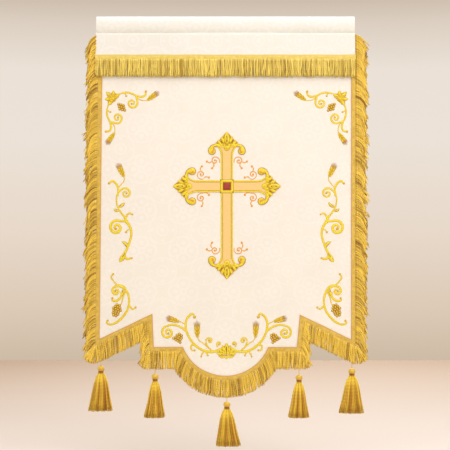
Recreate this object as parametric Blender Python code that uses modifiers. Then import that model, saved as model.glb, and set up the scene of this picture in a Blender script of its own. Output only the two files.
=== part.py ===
"""Church banner: a stiff damask cloth on a folded sleeve, edged with fringe, with five tassels and a cross.

Metres, +Z up. The origin is the middle of the sleeve's top edge. X runs across the banner, the front
faces -Y, and everything hangs down from Z = 0.
"""

import math
import random

import bmesh
import bpy
from mathutils import Matrix, Vector

GAP = 0.0003

# Cloth
CLOTH_THICKNESS = 0.002
CLOTH_FRONT = -CLOTH_THICKNESS / 2
CLOTH_BACK = CLOTH_THICKNESS / 2
CLOTH_TOP = -0.0480

# Corners of the cloth's edge, from the top down to the flat run beside the lobe
CLOTH_CORNERS = (
    # name, left x, left z, right x, right z
    ("shoulder", -0.3400, CLOTH_TOP, 0.3505, CLOTH_TOP),
    ("outer point", -0.3486, -0.8863, 0.3505, -0.8875),
    ("notch", -0.2052, -0.8177, 0.2106, -0.8195),
    ("step foot", -0.2020, -0.9018, 0.2028, -0.9021),
)
LOBE_CENTRE_X = 0.0015
LOBE_CENTRE_Z = -0.8456
LOBE_RADIUS = 0.1340
LOBE_STEPS = 24

# Sleeve: one strip folded over the top, with an empty pocket for a rod above its seam
SLEEVE_THICKNESS = 0.0015
SLEEVE_LEFT_TOP = -0.3467
SLEEVE_LEFT_FOOT = -0.3488
SLEEVE_RIGHT_TOP = 0.3494
SLEEVE_RIGHT_FOOT = 0.3510
SLEEVE_FOOT = -0.1130
SLEEVE_BACK_FOOT = -0.1080
SLEEVE_SPANS = 8
POCKET_HEIGHT = 0.0440
POCKET_DEPTH = 0.0125
POCKET_STEPS = 16
POCKET_SWELL = 0.10
POCKET_WAVES = 1.2
POCKET_WAVE_START = 0.6
SEAM_HALF_GAP = 0.0011
SEAM_FOOT = -0.0470

# Fringe: a woven tape with locks of yarn
TAPE_WIDTH = 0.0130
TAPE_LAP = 0.0100
TAPE_THICKNESS = 0.0015
LOCK_LENGTH = 0.0470
LOCK_PITCH = 0.0160
LOCK_GAP_SHARE = 0.20
LOCK_TIP_SHARE = 0.88
LOCK_UNEVENNESS = 0.0020
LOCK_SWAY_SHARE = 0.3
LOCK_LIFT = 0.6
SIDE_DROOP = math.radians(42)
SIDE_FOOT_DROOP = math.radians(80)
SIDE_FOOT_FROM = 0.955
SLOPE_SHORT_FROM = 0.70
SLOPE_SHORTENED = 0.995
STEP_TOP_DROOP = math.radians(68)
STEP_FOOT_DROOP = math.radians(82)
LOBE_SPREAD = 0.24
TOP_TAPE_Z = -0.1037
TOP_TAPE_LEFT = -0.3500
TOP_TAPE_RIGHT = 0.3525
TOP_SPLAY = 0.0120
TOP_SPLAY_FROM = 0.955

EDGE_TAPE_Y = CLOTH_FRONT - GAP - TAPE_THICKNESS / 2
SLEEVE_FRONT_Y = EDGE_TAPE_Y - TAPE_THICKNESS / 2 - GAP - SLEEVE_THICKNESS / 2
SLEEVE_BACK_Y = CLOTH_BACK + GAP + SLEEVE_THICKNESS / 2
TOP_TAPE_Y = SLEEVE_FRONT_Y - SLEEVE_THICKNESS / 2 - GAP - TAPE_THICKNESS / 2

# Tassels, left to right; the cord of each one is sewn behind the cloth's corner
TASSELS = (
    # name, head x, head top z, skirt foot z, foot width, foot shift, cord top z
    ("tassel_1", -0.3353, -0.9431, -1.0640, 0.0645, -0.0030, -0.8660),
    ("tassel_2", -0.1887, -0.9647, -1.0820, 0.0545, -0.0020, -0.8850),
    ("tassel_3", 0.0051, -1.0400, -1.1590, 0.0650, 0.0030, -0.9620),
    ("tassel_4", 0.2000, -0.9671, -1.0820, 0.0550, -0.0010, -0.8850),
    ("tassel_5", 0.3430, -0.9501, -1.0700, 0.0660, -0.0020, -0.8700),
)
CORD_RADIUS = 0.0010
CORD_SHOULDER = 0.0015
TASSEL_Y = CLOTH_BACK + GAP + CORD_RADIUS
TASSEL_SIDES = 10
INNER_LOCKS_SHARE = 0.52
SKIRT_DEPTH_SHARE = 0.50
SKIRT_LOCK_GAP = 0.00025
SKIRT_ROWS = (
    # share of the skirt's length, share of its spread
    (0.31, 0.42),
    (1.00, 1.00),
)
HEAD_PROFILE = (
    # drop below the head's top, radius
    (0.0000, 0.0035),
    (0.0030, 0.0078),
    (0.0080, 0.0095),
    (0.0130, 0.0078),
    (0.0152, 0.0058),
    (0.0175, 0.0088),
)

# Cross: a plate of padded satin stitch with leaf ends and drops
CROSS_X = 0.0051
CROSS_Z = -0.4583
CROSS_THICKNESS = 0.0012
CROSS_ARM_HALF = 0.0163
CROSS_SQUARE_HALF = 0.0184
CROSS_REACHES = (
    # quarter turns from upright, reach
    (0, 0.1480),
    (1, 0.1465),
    (2, 0.2515),
    (3, 0.1465),
)
CROSS_END = (
    # distance back from the tip, half width, on the cross's right side going outwards
    (0.0640, CROSS_ARM_HALF),
    (0.0570, 0.0210),
)
DROP_BACK = 0.0530
DROP_SIDE = 0.0400
DROP_RADIUS = 0.0112
DROP_FIRST_ANGLE = 255
DROP_LAST_ANGLE = -25
DROP_STEPS = 9
CROSS_LEAF = (
    # distance back from the tip, half width
    (0.0410, 0.0310),
    (0.0350, 0.0320),
    (0.0240, 0.0205),
    (0.0130, 0.0115),
)
GEM_SIDE = 0.0176
GEM_THICKNESS = 0.0012


def clear_scene():
    for thing in list(bpy.data.objects):
        bpy.data.objects.remove(thing, do_unlink=True)


def banner_collection():
    collection = bpy.data.collections.new("church_banner")
    bpy.context.scene.collection.children.link(collection)
    return collection


def make_material(name, colour, roughness, metallic=0.0):
    material = bpy.data.materials.new(name)
    material.use_nodes = True
    shader = material.node_tree.nodes["Principled BSDF"]
    shader.inputs["Base Color"].default_value = (*colour, 1.0)
    shader.inputs["Roughness"].default_value = roughness
    shader.inputs["Metallic"].default_value = metallic
    return material


def add_object(collection, name, data, material):
    data.materials.append(material)
    thing = bpy.data.objects.new(name, data)
    collection.objects.link(thing)
    return thing


def mesh_object(collection, name, bm, material):
    mesh = bpy.data.meshes.new(name)
    bm.to_mesh(mesh)
    bm.free()
    return add_object(collection, name, mesh, material)


def plate_object(collection, name, outline, thickness, y, material):
    """A flat piece cut to an outline of (x, z) points, standing upright with its middle at y."""
    curve = bpy.data.curves.new(name, "CURVE")
    curve.dimensions = "2D"
    curve.fill_mode = "BOTH"
    curve.extrude = thickness / 2
    spline = curve.splines.new("POLY")
    spline.points.add(len(outline) - 1)
    for point, (x, z) in zip(spline.points, outline):
        point.co = (x, z, 0.0, 1.0)
    spline.use_cyclic_u = True
    plate = add_object(collection, name, curve, material)
    plate.rotation_euler = (math.radians(90), 0.0, 0.0)
    plate.location = (0.0, y, 0.0)
    return plate


def thicken(thing, thickness):
    solidify = thing.modifiers.new("cloth thickness", "SOLIDIFY")
    solidify.thickness = thickness
    solidify.offset = 0.0


def corner(name, side):
    for row_name, left_x, left_z, right_x, right_z in CLOTH_CORNERS:
        if row_name == name:
            return Vector((left_x, left_z)) if side == "left" else Vector((right_x, right_z))
    raise KeyError(name)


def lobe_end(radius, z, side):
    """Where a circle about the lobe's centre meets the height z."""
    half = math.sqrt(radius ** 2 - (z - LOBE_CENTRE_Z) ** 2)
    return Vector((LOBE_CENTRE_X + (half if side == "right" else -half), z))


def lobe_point(radius, angle):
    """A point on the lobe, with the angle counted from straight down, positive to the right."""
    x = LOBE_CENTRE_X + radius * math.sin(angle)
    return Vector((x, LOBE_CENTRE_Z - radius * math.cos(angle)))


def lobe_angle(point):
    return math.atan2(point.x - LOBE_CENTRE_X, LOBE_CENTRE_Z - point.y)


def cloth_edge():
    """The cloth's outline: down the left side, along the lower edge and up the right side."""
    points = [corner(row[0], "left") for row in CLOTH_CORNERS]
    start = lobe_angle(lobe_end(LOBE_RADIUS, points[-1].y, "left"))
    end = lobe_angle(lobe_end(LOBE_RADIUS, corner("step foot", "right").y, "right"))
    for step in range(LOBE_STEPS + 1):
        points.append(lobe_point(LOBE_RADIUS, start + (end - start) * step / LOBE_STEPS))
    points.extend(corner(row[0], "right") for row in reversed(CLOTH_CORNERS))
    return points


def build_cloth(collection, material):
    outline = [(point.x, point.y) for point in cloth_edge()]
    plate_object(collection, "panel", outline, CLOTH_THICKNESS, 0.0, material)


def sleeve_section(belly):
    """(y, z) points along the middle of the folded strip, front foot to back foot."""
    half_height = POCKET_HEIGHT / 2
    centre_z = -SLEEVE_THICKNESS / 2 - half_height
    pinch = math.asin(SEAM_HALF_GAP / (POCKET_DEPTH / 2 * belly))
    section = [(SLEEVE_FRONT_Y, SLEEVE_FOOT), (SLEEVE_FRONT_Y, SEAM_FOOT)]
    for step in range(POCKET_STEPS + 1):
        angle = pinch + (2 * math.pi - 2 * pinch) * step / POCKET_STEPS
        y = -math.sin(angle) * POCKET_DEPTH / 2 * belly
        section.append((y, centre_z - math.cos(angle) * half_height))
    section.append((SLEEVE_BACK_Y, SEAM_FOOT))
    section.append((SLEEVE_BACK_Y, SLEEVE_BACK_FOOT))
    return section


def build_sleeve(collection, material):
    bm = bmesh.new()
    rows = []
    for span in range(SLEEVE_SPANS + 1):
        along = span / SLEEVE_SPANS
        belly = 1.0 + POCKET_SWELL * math.sin(2 * math.pi * POCKET_WAVES * along + POCKET_WAVE_START)
        row = []
        for y, z in sleeve_section(belly):
            fall = z / SLEEVE_FOOT
            left = SLEEVE_LEFT_TOP + (SLEEVE_LEFT_FOOT - SLEEVE_LEFT_TOP) * fall
            right = SLEEVE_RIGHT_TOP + (SLEEVE_RIGHT_FOOT - SLEEVE_RIGHT_TOP) * fall
            row.append(bm.verts.new((left + (right - left) * along, y, z)))
        rows.append(row)
    for row, next_row in zip(rows, rows[1:]):
        for index in range(len(row) - 1):
            bm.faces.new((row[index], row[index + 1], next_row[index + 1], next_row[index]))
    sleeve = mesh_object(collection, "sleeve", bm, material)
    thicken(sleeve, SLEEVE_THICKNESS)


def offset_corner(before, at, after, distance):
    """The corner of a line moved by a distance to the right of its direction of travel."""
    into = (at - before).normalized()
    out = (after - at).normalized()
    into_side = Vector((into.y, -into.x))
    out_side = Vector((out.y, -out.x))
    mitre = (into_side + out_side).normalized()
    return at + mitre * (distance / mitre.dot(into_side))


def straight_run(start_out, end_out, start_in, end_in):
    """Functions that give the outer and inner edge of a straight tape, from 0 to 1."""
    return (lambda share: start_out.lerp(end_out, share)), (lambda share: start_in.lerp(end_in, share))


def lobe_run(start_out, end_out, start_in, end_in):
    """The same for the tape round the lobe."""
    def edge(start, end):
        radius = (start - Vector((LOBE_CENTRE_X, LOBE_CENTRE_Z))).length
        first = lobe_angle(start)
        last = lobe_angle(end)
        return lambda share: lobe_point(radius, first + (last - first) * share)
    return edge(start_out, end_out), edge(start_in, end_in)


def build_fringe(collection, name, run, length, y, droop, material, bends=1):
    """A tape between two edge functions, with locks extruded from its outer edge.

    droop(share) gives the direction and length of the lock at that share of the run, in (x, z).
    """
    outer, inner = run
    count = max(1, round(length / LOCK_PITCH))
    end_trim = GAP / length
    edges = []
    for lock in range(count):
        edges.append((lock + LOCK_GAP_SHARE / 2) / count)
        edges.append((lock + 1 - LOCK_GAP_SHARE / 2) / count)
    shares = [end_trim] + edges + [1 - end_trim]

    bm = bmesh.new()
    columns = []
    for share in shares:
        out_point = outer(share)
        in_point = inner(share)
        low = bm.verts.new((out_point.x, y, out_point.y))
        high = bm.verts.new((in_point.x, y, in_point.y))
        columns.append((low, high))
    root_edges = []
    for index, ((low, high), (next_low, next_high)) in enumerate(zip(columns, columns[1:])):
        bm.faces.new((low, next_low, next_high, high))
        if index % 2 == 1:
            root_edges.append((bm.edges.get((low, next_low)), (shares[index] + shares[index + 1]) / 2))

    chance = random.Random(name)
    for edge, share in root_edges:
        fall = droop(share)
        length_now = fall.length + chance.uniform(-1, 1) * LOCK_UNEVENNESS
        sway = chance.uniform(-1, 1) * LOCK_SWAY_SHARE * LOCK_UNEVENNESS
        for bend in range(bends):
            # the yarn leaves the tape more outwards and ends more downwards
            lift = (0.5 - (bend + 0.5) / bends) * LOCK_LIFT
            step = (fall.normalized() + Vector((0.0, lift))).normalized() * (length_now / bends)
            extruded = bmesh.ops.extrude_edge_only(bm, edges=[edge])["geom"]
            tip_verts = [item for item in extruded if isinstance(item, bmesh.types.BMVert)]
            edge = next(item for item in extruded if isinstance(item, bmesh.types.BMEdge)
                        and all(vert in tip_verts for vert in item.verts))
            bmesh.ops.translate(bm, verts=tip_verts, vec=(step.x + sway / bends, 0.0, step.y))
            middle = (tip_verts[0].co + tip_verts[1].co) / 2
            narrow = LOCK_TIP_SHARE ** (1 / bends)
            bmesh.ops.scale(bm, verts=tip_verts, vec=(narrow, 1.0, narrow),
                            space=Matrix.Translation(-middle))
    fringe = mesh_object(collection, name, bm, material)
    thicken(fringe, TAPE_THICKNESS)


def fall_at(angle, length, side):
    """A fall of the given length, at an angle below level, to the left (-1) or right (+1)."""
    return Vector((side * math.cos(angle), -math.sin(angle))) * length


def ease(value, start, end):
    """0 before start, 1 after end, smooth between."""
    share = min(1.0, max(0.0, (value - start) / (end - start)))
    return share * share * (3 - 2 * share)


def build_edge_fringes(collection, material):
    """The fringe down both sides and along the lower edge, mitred at the corners."""
    for side, sign in (("left", -1), ("right", 1)):
        shoulder = corner("shoulder", side)
        point = corner("outer point", side)
        notch = corner("notch", side)
        foot = corner("step foot", side)
        lobe = lobe_end(LOBE_RADIUS, foot.y, side)
        outward = -sign

        def mitred(before, at, after):
            out_corner = offset_corner(before, at, after, outward * (TAPE_WIDTH - TAPE_LAP))
            return out_corner, offset_corner(before, at, after, -outward * TAPE_LAP)

        above = shoulder + (shoulder - point)
        start_out, start_in = mitred(above, shoulder, point)
        point_out, point_in = mitred(shoulder, point, notch)
        notch_out, notch_in = mitred(point, notch, foot)
        foot_out, foot_in = mitred(notch, foot, lobe)
        lobe_out = lobe_end(LOBE_RADIUS + TAPE_WIDTH - TAPE_LAP, foot_out.y, side)
        lobe_in = lobe_end(LOBE_RADIUS - TAPE_LAP, foot_in.y, side)

        def side_fall(share):
            turned = ease(share, SIDE_FOOT_FROM, 1.0)
            return fall_at(SIDE_DROOP + (SIDE_FOOT_DROOP - SIDE_DROOP) * turned, LOCK_LENGTH, sign)

        def slope_fall(share):
            # the last locks by the notch are short, because the step's locks cross below them
            return Vector((0.0, -LOCK_LENGTH * (1.0 - SLOPE_SHORTENED * ease(share, SLOPE_SHORT_FROM, 1.0))))

        def step_fall(share):
            return fall_at(STEP_TOP_DROOP + (STEP_FOOT_DROOP - STEP_TOP_DROOP) * share, LOCK_LENGTH, sign)

        def flat_fall(share):
            return Vector((0.0, -LOCK_LENGTH))

        runs = (
            (f"fringe_{side}", start_out, point_out, start_in, point_in, side_fall, 2),
            (f"fringe_slope_{side}", point_out, notch_out, point_in, notch_in, slope_fall, 1),
            (f"fringe_step_{side}", notch_out, foot_out, notch_in, foot_in, step_fall, 1),
            (f"fringe_flat_{side}", foot_out, lobe_out, foot_in, lobe_in, flat_fall, 1),
        )
        for name, a_out, b_out, a_in, b_in, droop, bends in runs:
            run = straight_run(a_out, b_out, a_in, b_in)
            build_fringe(collection, name, run, (b_out - a_out).length, EDGE_TAPE_Y, droop, material, bends)
        if side == "left":
            lobe_left = (lobe_out, lobe_in)
        else:
            lobe_right = (lobe_out, lobe_in)

    run = lobe_run(lobe_left[0], lobe_right[0], lobe_left[1], lobe_right[1])
    sweep = lobe_angle(lobe_right[0]) - lobe_angle(lobe_left[0])
    length = sweep * (LOBE_RADIUS + TAPE_WIDTH - TAPE_LAP)

    def lobe_fall(share):
        # upright where the lobe meets the flat runs, and spread a little between
        middle = 2 * share - 1
        spread = LOBE_SPREAD * math.sin(middle * sweep / 2) * (1 - middle ** 4)
        return Vector((spread, -1.0)).normalized() * LOCK_LENGTH

    build_fringe(collection, "fringe_lobe", run, length, EDGE_TAPE_Y, lobe_fall, material)


def build_top_fringe(collection, material):
    left_out = Vector((TOP_TAPE_LEFT, TOP_TAPE_Z - TAPE_WIDTH))
    right_out = Vector((TOP_TAPE_RIGHT, TOP_TAPE_Z - TAPE_WIDTH))
    up = Vector((0.0, TAPE_WIDTH))
    run = straight_run(left_out, right_out, left_out + up, right_out + up)

    def fall(share):
        splay = TOP_SPLAY * (ease(share, TOP_SPLAY_FROM, 1.0) - ease(1 - share, TOP_SPLAY_FROM, 1.0))
        return Vector((splay, -LOCK_LENGTH))

    build_fringe(collection, "fringe_top", run, right_out.x - left_out.x, TOP_TAPE_Y, fall, material)


def build_tassel(collection, row, material):
    """A turned head with its cord, and a skirt of locks extruded from the head's underside."""
    name, head_x, head_z, foot_z, foot_width, shift, cord_z = row
    neck_drop, neck_radius = HEAD_PROFILE[-1]
    bm = bmesh.new()
    bmesh.ops.create_circle(bm, cap_ends=True, cap_tris=True, segments=TASSEL_SIDES,
                            radius=neck_radius * INNER_LOCKS_SHARE)
    spokes = [edge for edge in bm.edges if len(edge.link_faces) == 2]
    bmesh.ops.dissolve_edges(bm, edges=spokes[::2], use_verts=False)

    def rim_loop():
        return [edge for edge in bm.edges if len(edge.link_faces) == 1]

    def extrude_rim(radius, z):
        extruded = bmesh.ops.extrude_edge_only(bm, edges=rim_loop())["geom"]
        ring = [item for item in extruded if isinstance(item, bmesh.types.BMVert)]
        for vert in ring:
            flat = Vector((vert.co.x, vert.co.y, 0.0)).normalized() * radius
            vert.co = (flat.x, flat.y, z)

    extrude_rim(neck_radius, 0.0)
    underside = list(bm.faces)
    for drop, radius in reversed(HEAD_PROFILE[:-1]):
        extrude_rim(radius, neck_drop - drop)
    extrude_rim(CORD_RADIUS, neck_drop + CORD_SHOULDER)
    extrude_rim(CORD_RADIUS, neck_drop + cord_z - head_z)
    bmesh.ops.contextual_create(bm, geom=rim_loop())

    bmesh.ops.inset_individual(bm, faces=underside, thickness=SKIRT_LOCK_GAP)
    chance = random.Random(name)
    skirt_length = head_z - neck_drop - foot_z
    spread = foot_width / 2 / neck_radius
    faces = underside
    reached_x, reached_y = 1.0, 1.0
    for length_share, spread_share in SKIRT_ROWS:
        spread_x = 1.0 + (spread - 1.0) * spread_share
        spread_y = 1.0 + (spread * SKIRT_DEPTH_SHARE - 1.0) * spread_share
        faces = bmesh.ops.extrude_discrete_faces(bm, faces=faces)["faces"]
        for face in faces:
            uneven = chance.uniform(-1, 1) * LOCK_UNEVENNESS * length_share ** 3
            for vert in face.verts:
                vert.co.x *= spread_x / reached_x
                vert.co.y *= spread_y / reached_y
                vert.co.z = uneven - skirt_length * length_share
                vert.co.x += shift * length_share ** 2
        reached_x, reached_y = spread_x, spread_y
    bmesh.ops.recalc_face_normals(bm, faces=bm.faces)
    tassel = mesh_object(collection, name, bm, material)
    tassel.location = (head_x, TASSEL_Y, head_z - neck_drop)


def cross_outline():
    """One end's outline, turned into place for each of the four arms."""
    outline = []
    for quarter, reach in CROSS_REACHES:
        half = [(CROSS_SQUARE_HALF, CROSS_SQUARE_HALF), (CROSS_SQUARE_HALF, CROSS_ARM_HALF)]
        half += [(reach - back, width) for back, width in CROSS_END]
        drop = Vector((reach - DROP_BACK, DROP_SIDE))
        first = math.radians(DROP_FIRST_ANGLE)
        last = math.radians(DROP_LAST_ANGLE)
        for step in range(DROP_STEPS + 1):
            angle = first + (last - first) * step / DROP_STEPS
            half.append((drop.x + DROP_RADIUS * math.cos(angle), drop.y + DROP_RADIUS * math.sin(angle)))
        half += [(reach - back, width) for back, width in CROSS_LEAF]
        end = [(along, -across) for along, across in half] + [(reach, 0.0)]
        end += [(along, across) for along, across in reversed(half[1:])]
        turn = math.radians(90 - 90 * quarter)
        for along, across in end:
            x = along * math.cos(turn) + across * math.sin(turn)
            z = along * math.sin(turn) - across * math.cos(turn)
            outline.append((CROSS_X + x, CROSS_Z + z))
    return outline


def build_cross(collection, gold, red):
    y = CLOTH_FRONT - GAP - CROSS_THICKNESS / 2
    plate_object(collection, "cross", cross_outline(), CROSS_THICKNESS, y, gold)
    bm = bmesh.new()
    bmesh.ops.create_cube(bm, size=1.0)
    bmesh.ops.scale(bm, vec=(GEM_SIDE, GEM_THICKNESS, GEM_SIDE), verts=bm.verts)
    square = mesh_object(collection, "cross_square", bm, red)
    square.location = (CROSS_X, y - CROSS_THICKNESS / 2 - GAP - GEM_THICKNESS / 2, CROSS_Z)


def main():
    clear_scene()
    collection = banner_collection()
    damask = make_material("ivory damask", (0.90, 0.86, 0.72), 0.60)
    sleeve_damask = make_material("ivory damask, sleeve", (0.86, 0.83, 0.68), 0.60)
    fringe_yarn = make_material("gold rayon fringe", (0.70, 0.45, 0.07), 0.45)
    tassel_yarn = make_material("old gold rayon tassel", (0.66, 0.30, 0.02), 0.40)
    satin = make_material("gold satin stitch", (0.76, 0.52, 0.03), 0.40)
    red_satin = make_material("red satin stitch", (0.38, 0.03, 0.03), 0.45)

    build_cloth(collection, damask)
    build_sleeve(collection, sleeve_damask)
    build_edge_fringes(collection, fringe_yarn)
    build_top_fringe(collection, fringe_yarn)
    for row in TASSELS:
        build_tassel(collection, row, tassel_yarn)
    build_cross(collection, satin, red_satin)


main()
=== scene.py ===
"""Church banner: damask cloth, embroidery, fringe and tassels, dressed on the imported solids.

Metres, +Z up. The banner hangs from the middle of its top edge at the origin, and its front faces -Y.
"""

import math
import random

import bpy
import numpy as np
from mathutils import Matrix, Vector


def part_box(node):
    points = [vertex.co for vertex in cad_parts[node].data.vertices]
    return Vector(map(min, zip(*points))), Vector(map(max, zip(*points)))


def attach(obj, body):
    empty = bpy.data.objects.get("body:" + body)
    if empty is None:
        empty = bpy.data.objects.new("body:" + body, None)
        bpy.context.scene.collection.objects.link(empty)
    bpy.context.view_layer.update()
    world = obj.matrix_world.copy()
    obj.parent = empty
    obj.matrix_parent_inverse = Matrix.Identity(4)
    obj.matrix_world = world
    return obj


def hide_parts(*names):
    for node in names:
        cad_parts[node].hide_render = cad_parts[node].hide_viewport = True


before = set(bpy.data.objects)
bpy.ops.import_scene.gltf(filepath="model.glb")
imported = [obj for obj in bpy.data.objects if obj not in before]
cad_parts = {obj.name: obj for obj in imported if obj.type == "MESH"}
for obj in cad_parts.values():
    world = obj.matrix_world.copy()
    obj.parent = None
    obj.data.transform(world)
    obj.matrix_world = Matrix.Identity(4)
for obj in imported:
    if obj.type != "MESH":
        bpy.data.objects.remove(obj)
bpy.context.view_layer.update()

MM = 0.001

# Cloth and its edge, as cut
CLOTH_THICKNESS = 2.0 * MM
CLOTH_FRONT = -CLOTH_THICKNESS / 2
CLOTH_TOP = -48.0 * MM
CLOTH_CORNERS = {
    # name: left x, left z, right x, right z, in mm
    "shoulder": (-340.0, -48.0, 350.5, -48.0),
    "outer point": (-348.6, -886.3, 350.5, -887.5),
    "notch": (-205.2, -817.7, 210.6, -819.5),
    "step foot": (-202.0, -901.8, 202.8, -902.1),
}
LOBE_CENTRE = Vector((1.5 * MM, -845.6 * MM))
LOBE_RADIUS = 134.0 * MM
LOBE_STEPS = 60
CLOTH_GRID = 11 * MM

# Sleeve
SLEEVE_THICKNESS = 1.5 * MM
SLEEVE_LEFT = (-346.7 * MM, -348.8 * MM)
SLEEVE_RIGHT = (349.4 * MM, 351.0 * MM)
SLEEVE_FOOT = -113.0 * MM
SLEEVE_BACK_FOOT = -108.0 * MM
SEAM_Z = -47.0 * MM
POCKET_HEIGHT = 44.0 * MM
POCKET_DEPTH = 12.5 * MM
SEAM_HALF_GAP = 1.1 * MM
SLEEVE_FRONT_Y = -4.2 * MM
SLEEVE_BACK_Y = 2.05 * MM

# Fringe
TAPE_WIDTH = 13.0 * MM
TAPE_LAP = 10.0 * MM
TAPE_THICKNESS = 1.3 * MM
EDGE_TAPE_Y = -2.05 * MM
TOP_TAPE_Y = -6.0 * MM
TOP_TAPE_Z = -103.7 * MM
TOP_TAPE_LEFT = -350.0 * MM
TOP_TAPE_RIGHT = 352.5 * MM
STRAND_LENGTH = 48.0 * MM
STRAND_LAYERS = 3
STRAND_PITCH = 2.7 * MM
STRAND_RADIUS = 1.45 * MM
STRAND_RINGS = 9
STRAND_SIDES = 5

# Tassels
TASSELS = {
    # name: head x, head top z, skirt foot z, foot width, foot shift, cord top z, in mm
    "tassel_1": (-335.3, -943.1, -1064.0, 64.5, -3.0, -866.0),
    "tassel_2": (-188.7, -964.7, -1082.0, 54.5, -2.0, -885.0),
    "tassel_3": (5.1, -1040.0, -1159.0, 65.0, 3.0, -962.0),
    "tassel_4": (200.0, -967.1, -1082.0, 55.0, -1.0, -885.0),
    "tassel_5": (343.0, -950.1, -1070.0, 66.0, -2.0, -870.0),
}
TASSEL_Y = 2.3 * MM
NECK_DROP = 16.5 * MM
HEAD_RADIUS = 9.3 * MM
NECK_RADIUS = 6.4 * MM

# Surroundings
FLOOR_Z = -1.24
FLOOR_FAR = 2.45

# Embroidery
MIDDLE_X = 4.0
CROSS_X = 5.1
CROSS_Z = -458.3


# Small helpers for nodes, objects and modifiers

def colour(code):
    """An sRGB hex colour as linear values with alpha."""
    channels = [int(code[index:index + 2], 16) / 255 for index in (1, 3, 5)]
    linear = [c / 12.92 if c <= 0.04045 else ((c + 0.055) / 1.055) ** 2.4 for c in channels]
    return (*linear, 1.0)


def add_node(tree, kind, inputs=None, **settings):
    """A shader node with its settings, each input given as a value or as a socket to link."""
    item = tree.nodes.new(kind)
    for key, value in settings.items():
        setattr(item, key, value)
    for key, value in (inputs or {}).items():
        if isinstance(value, bpy.types.NodeSocket):
            tree.links.new(value, item.inputs[key])
        else:
            item.inputs[key].default_value = value
    return item


def new_material(name, roughness, **shader_values):
    material = bpy.data.materials.new(name)
    material.use_nodes = True
    tree = material.node_tree
    shader = tree.nodes["Principled BSDF"]
    shader.inputs["Roughness"].default_value = roughness
    for key, value in shader_values.items():
        shader.inputs[key.replace("_", " ")].default_value = value
    return material, tree, shader


def deselect():
    if bpy.context.object and bpy.context.object.mode != "OBJECT":
        bpy.ops.object.mode_set(mode="OBJECT")
    bpy.ops.object.select_all(action="DESELECT")


def pick(thing):
    deselect()
    thing.select_set(True)
    bpy.context.view_layer.objects.active = thing


def named(name, material):
    thing = bpy.context.object
    thing.name = name
    thing.data.name = name
    thing.data.materials.clear()
    thing.data.materials.append(material)
    return thing


def apply_modifier(thing, kind, **settings):
    pick(thing)
    modifier = thing.modifiers.new(kind.lower(), kind)
    for key, value in settings.items():
        setattr(modifier, key, value)
    bpy.ops.object.modifier_apply(modifier=modifier.name)


def face_outwards(thing):
    pick(thing)
    bpy.ops.object.mode_set(mode="EDIT")
    bpy.ops.mesh.select_all(action="SELECT")
    bpy.ops.mesh.normals_make_consistent(inside=False)
    bpy.ops.object.mode_set(mode="OBJECT")


def shade(thing, degrees=40):
    pick(thing)
    bpy.ops.object.shade_smooth_by_angle(angle=math.radians(degrees))


def mesh_from_arrays(name, verts, faces, material, uvs=None, tints_and_painted_light=None):
    """One mesh from joined copies, with a UV for each face corner and a tint for each point, which carries painted
    light as well as tone.
    """
    mesh = bpy.data.meshes.new(name)
    mesh.from_pydata(verts, [], faces)
    mesh.materials.append(material)
    if uvs is not None:
        layer = mesh.uv_layers.new(name="UVMap")
        layer.data.foreach_set("uv", np.asarray(uvs, dtype=np.float32).ravel())
    if tints_and_painted_light is not None:
        layer = mesh.attributes.new("tint_and_painted_light", "FLOAT", "POINT")
        layer.data.foreach_set("value", np.asarray(tints_and_painted_light, dtype=np.float32))
    thing = bpy.data.objects.new(name, mesh)
    bpy.context.scene.collection.objects.link(thing)
    mesh.shade_smooth()
    return thing


def ease(value, start, end):
    share = min(1.0, max(0.0, (value - start) / (end - start)))
    return share * share * (3 - 2 * share)


# How the cloth hangs

def ripple(x, z):
    """How far the cloth stands back from flat: nothing under the sleeve, a little at the foot."""
    share = np.clip((-0.14 - z) / 0.60, 0.0, 1.0)
    fall = share * share * (3 - 2 * share)
    broad = 1.5 * MM * np.sin(2 * math.pi * (x / 0.36 + 0.15))
    narrow = 0.8 * MM * np.sin(2 * math.pi * (x / 0.19 + z / 0.80))
    return fall * (broad + narrow)


def hang(thing):
    """Moves a flat piece onto the hanging cloth."""
    mesh = thing.data
    places = np.empty(len(mesh.vertices) * 3, dtype=np.float32)
    mesh.vertices.foreach_get("co", places)
    places = places.reshape(-1, 3)
    places[:, 1] += ripple(places[:, 0], places[:, 2])
    mesh.vertices.foreach_set("co", places.ravel())
    mesh.update()


# Materials

DAMASK_REPEAT = (113 * MM, 110 * MM)
DAMASK_FIGURES = (
    # centre across and up in the repeat's quarter, ring radius, half line width, all in repeats
    (0.00, 0.00, 0.350, 0.016),
    (0.00, 0.00, 0.060, 0.030),
    (0.19, 0.00, 0.150, 0.014),
    (0.00, 0.19, 0.150, 0.014),
    (0.19, 0.00, 0.030, 0.028),
    (0.00, 0.19, 0.030, 0.028),
    (0.14, 0.14, 0.000, 0.045),
    (0.50, 0.50, 0.330, 0.014),
    (0.50, 0.50, 0.130, 0.016),
    (0.50, 0.50, 0.000, 0.050),
    (0.50, 0.24, 0.000, 0.040),
    (0.24, 0.50, 0.000, 0.040),
)
WEAVE_PITCH = 1.1 * MM


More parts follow.
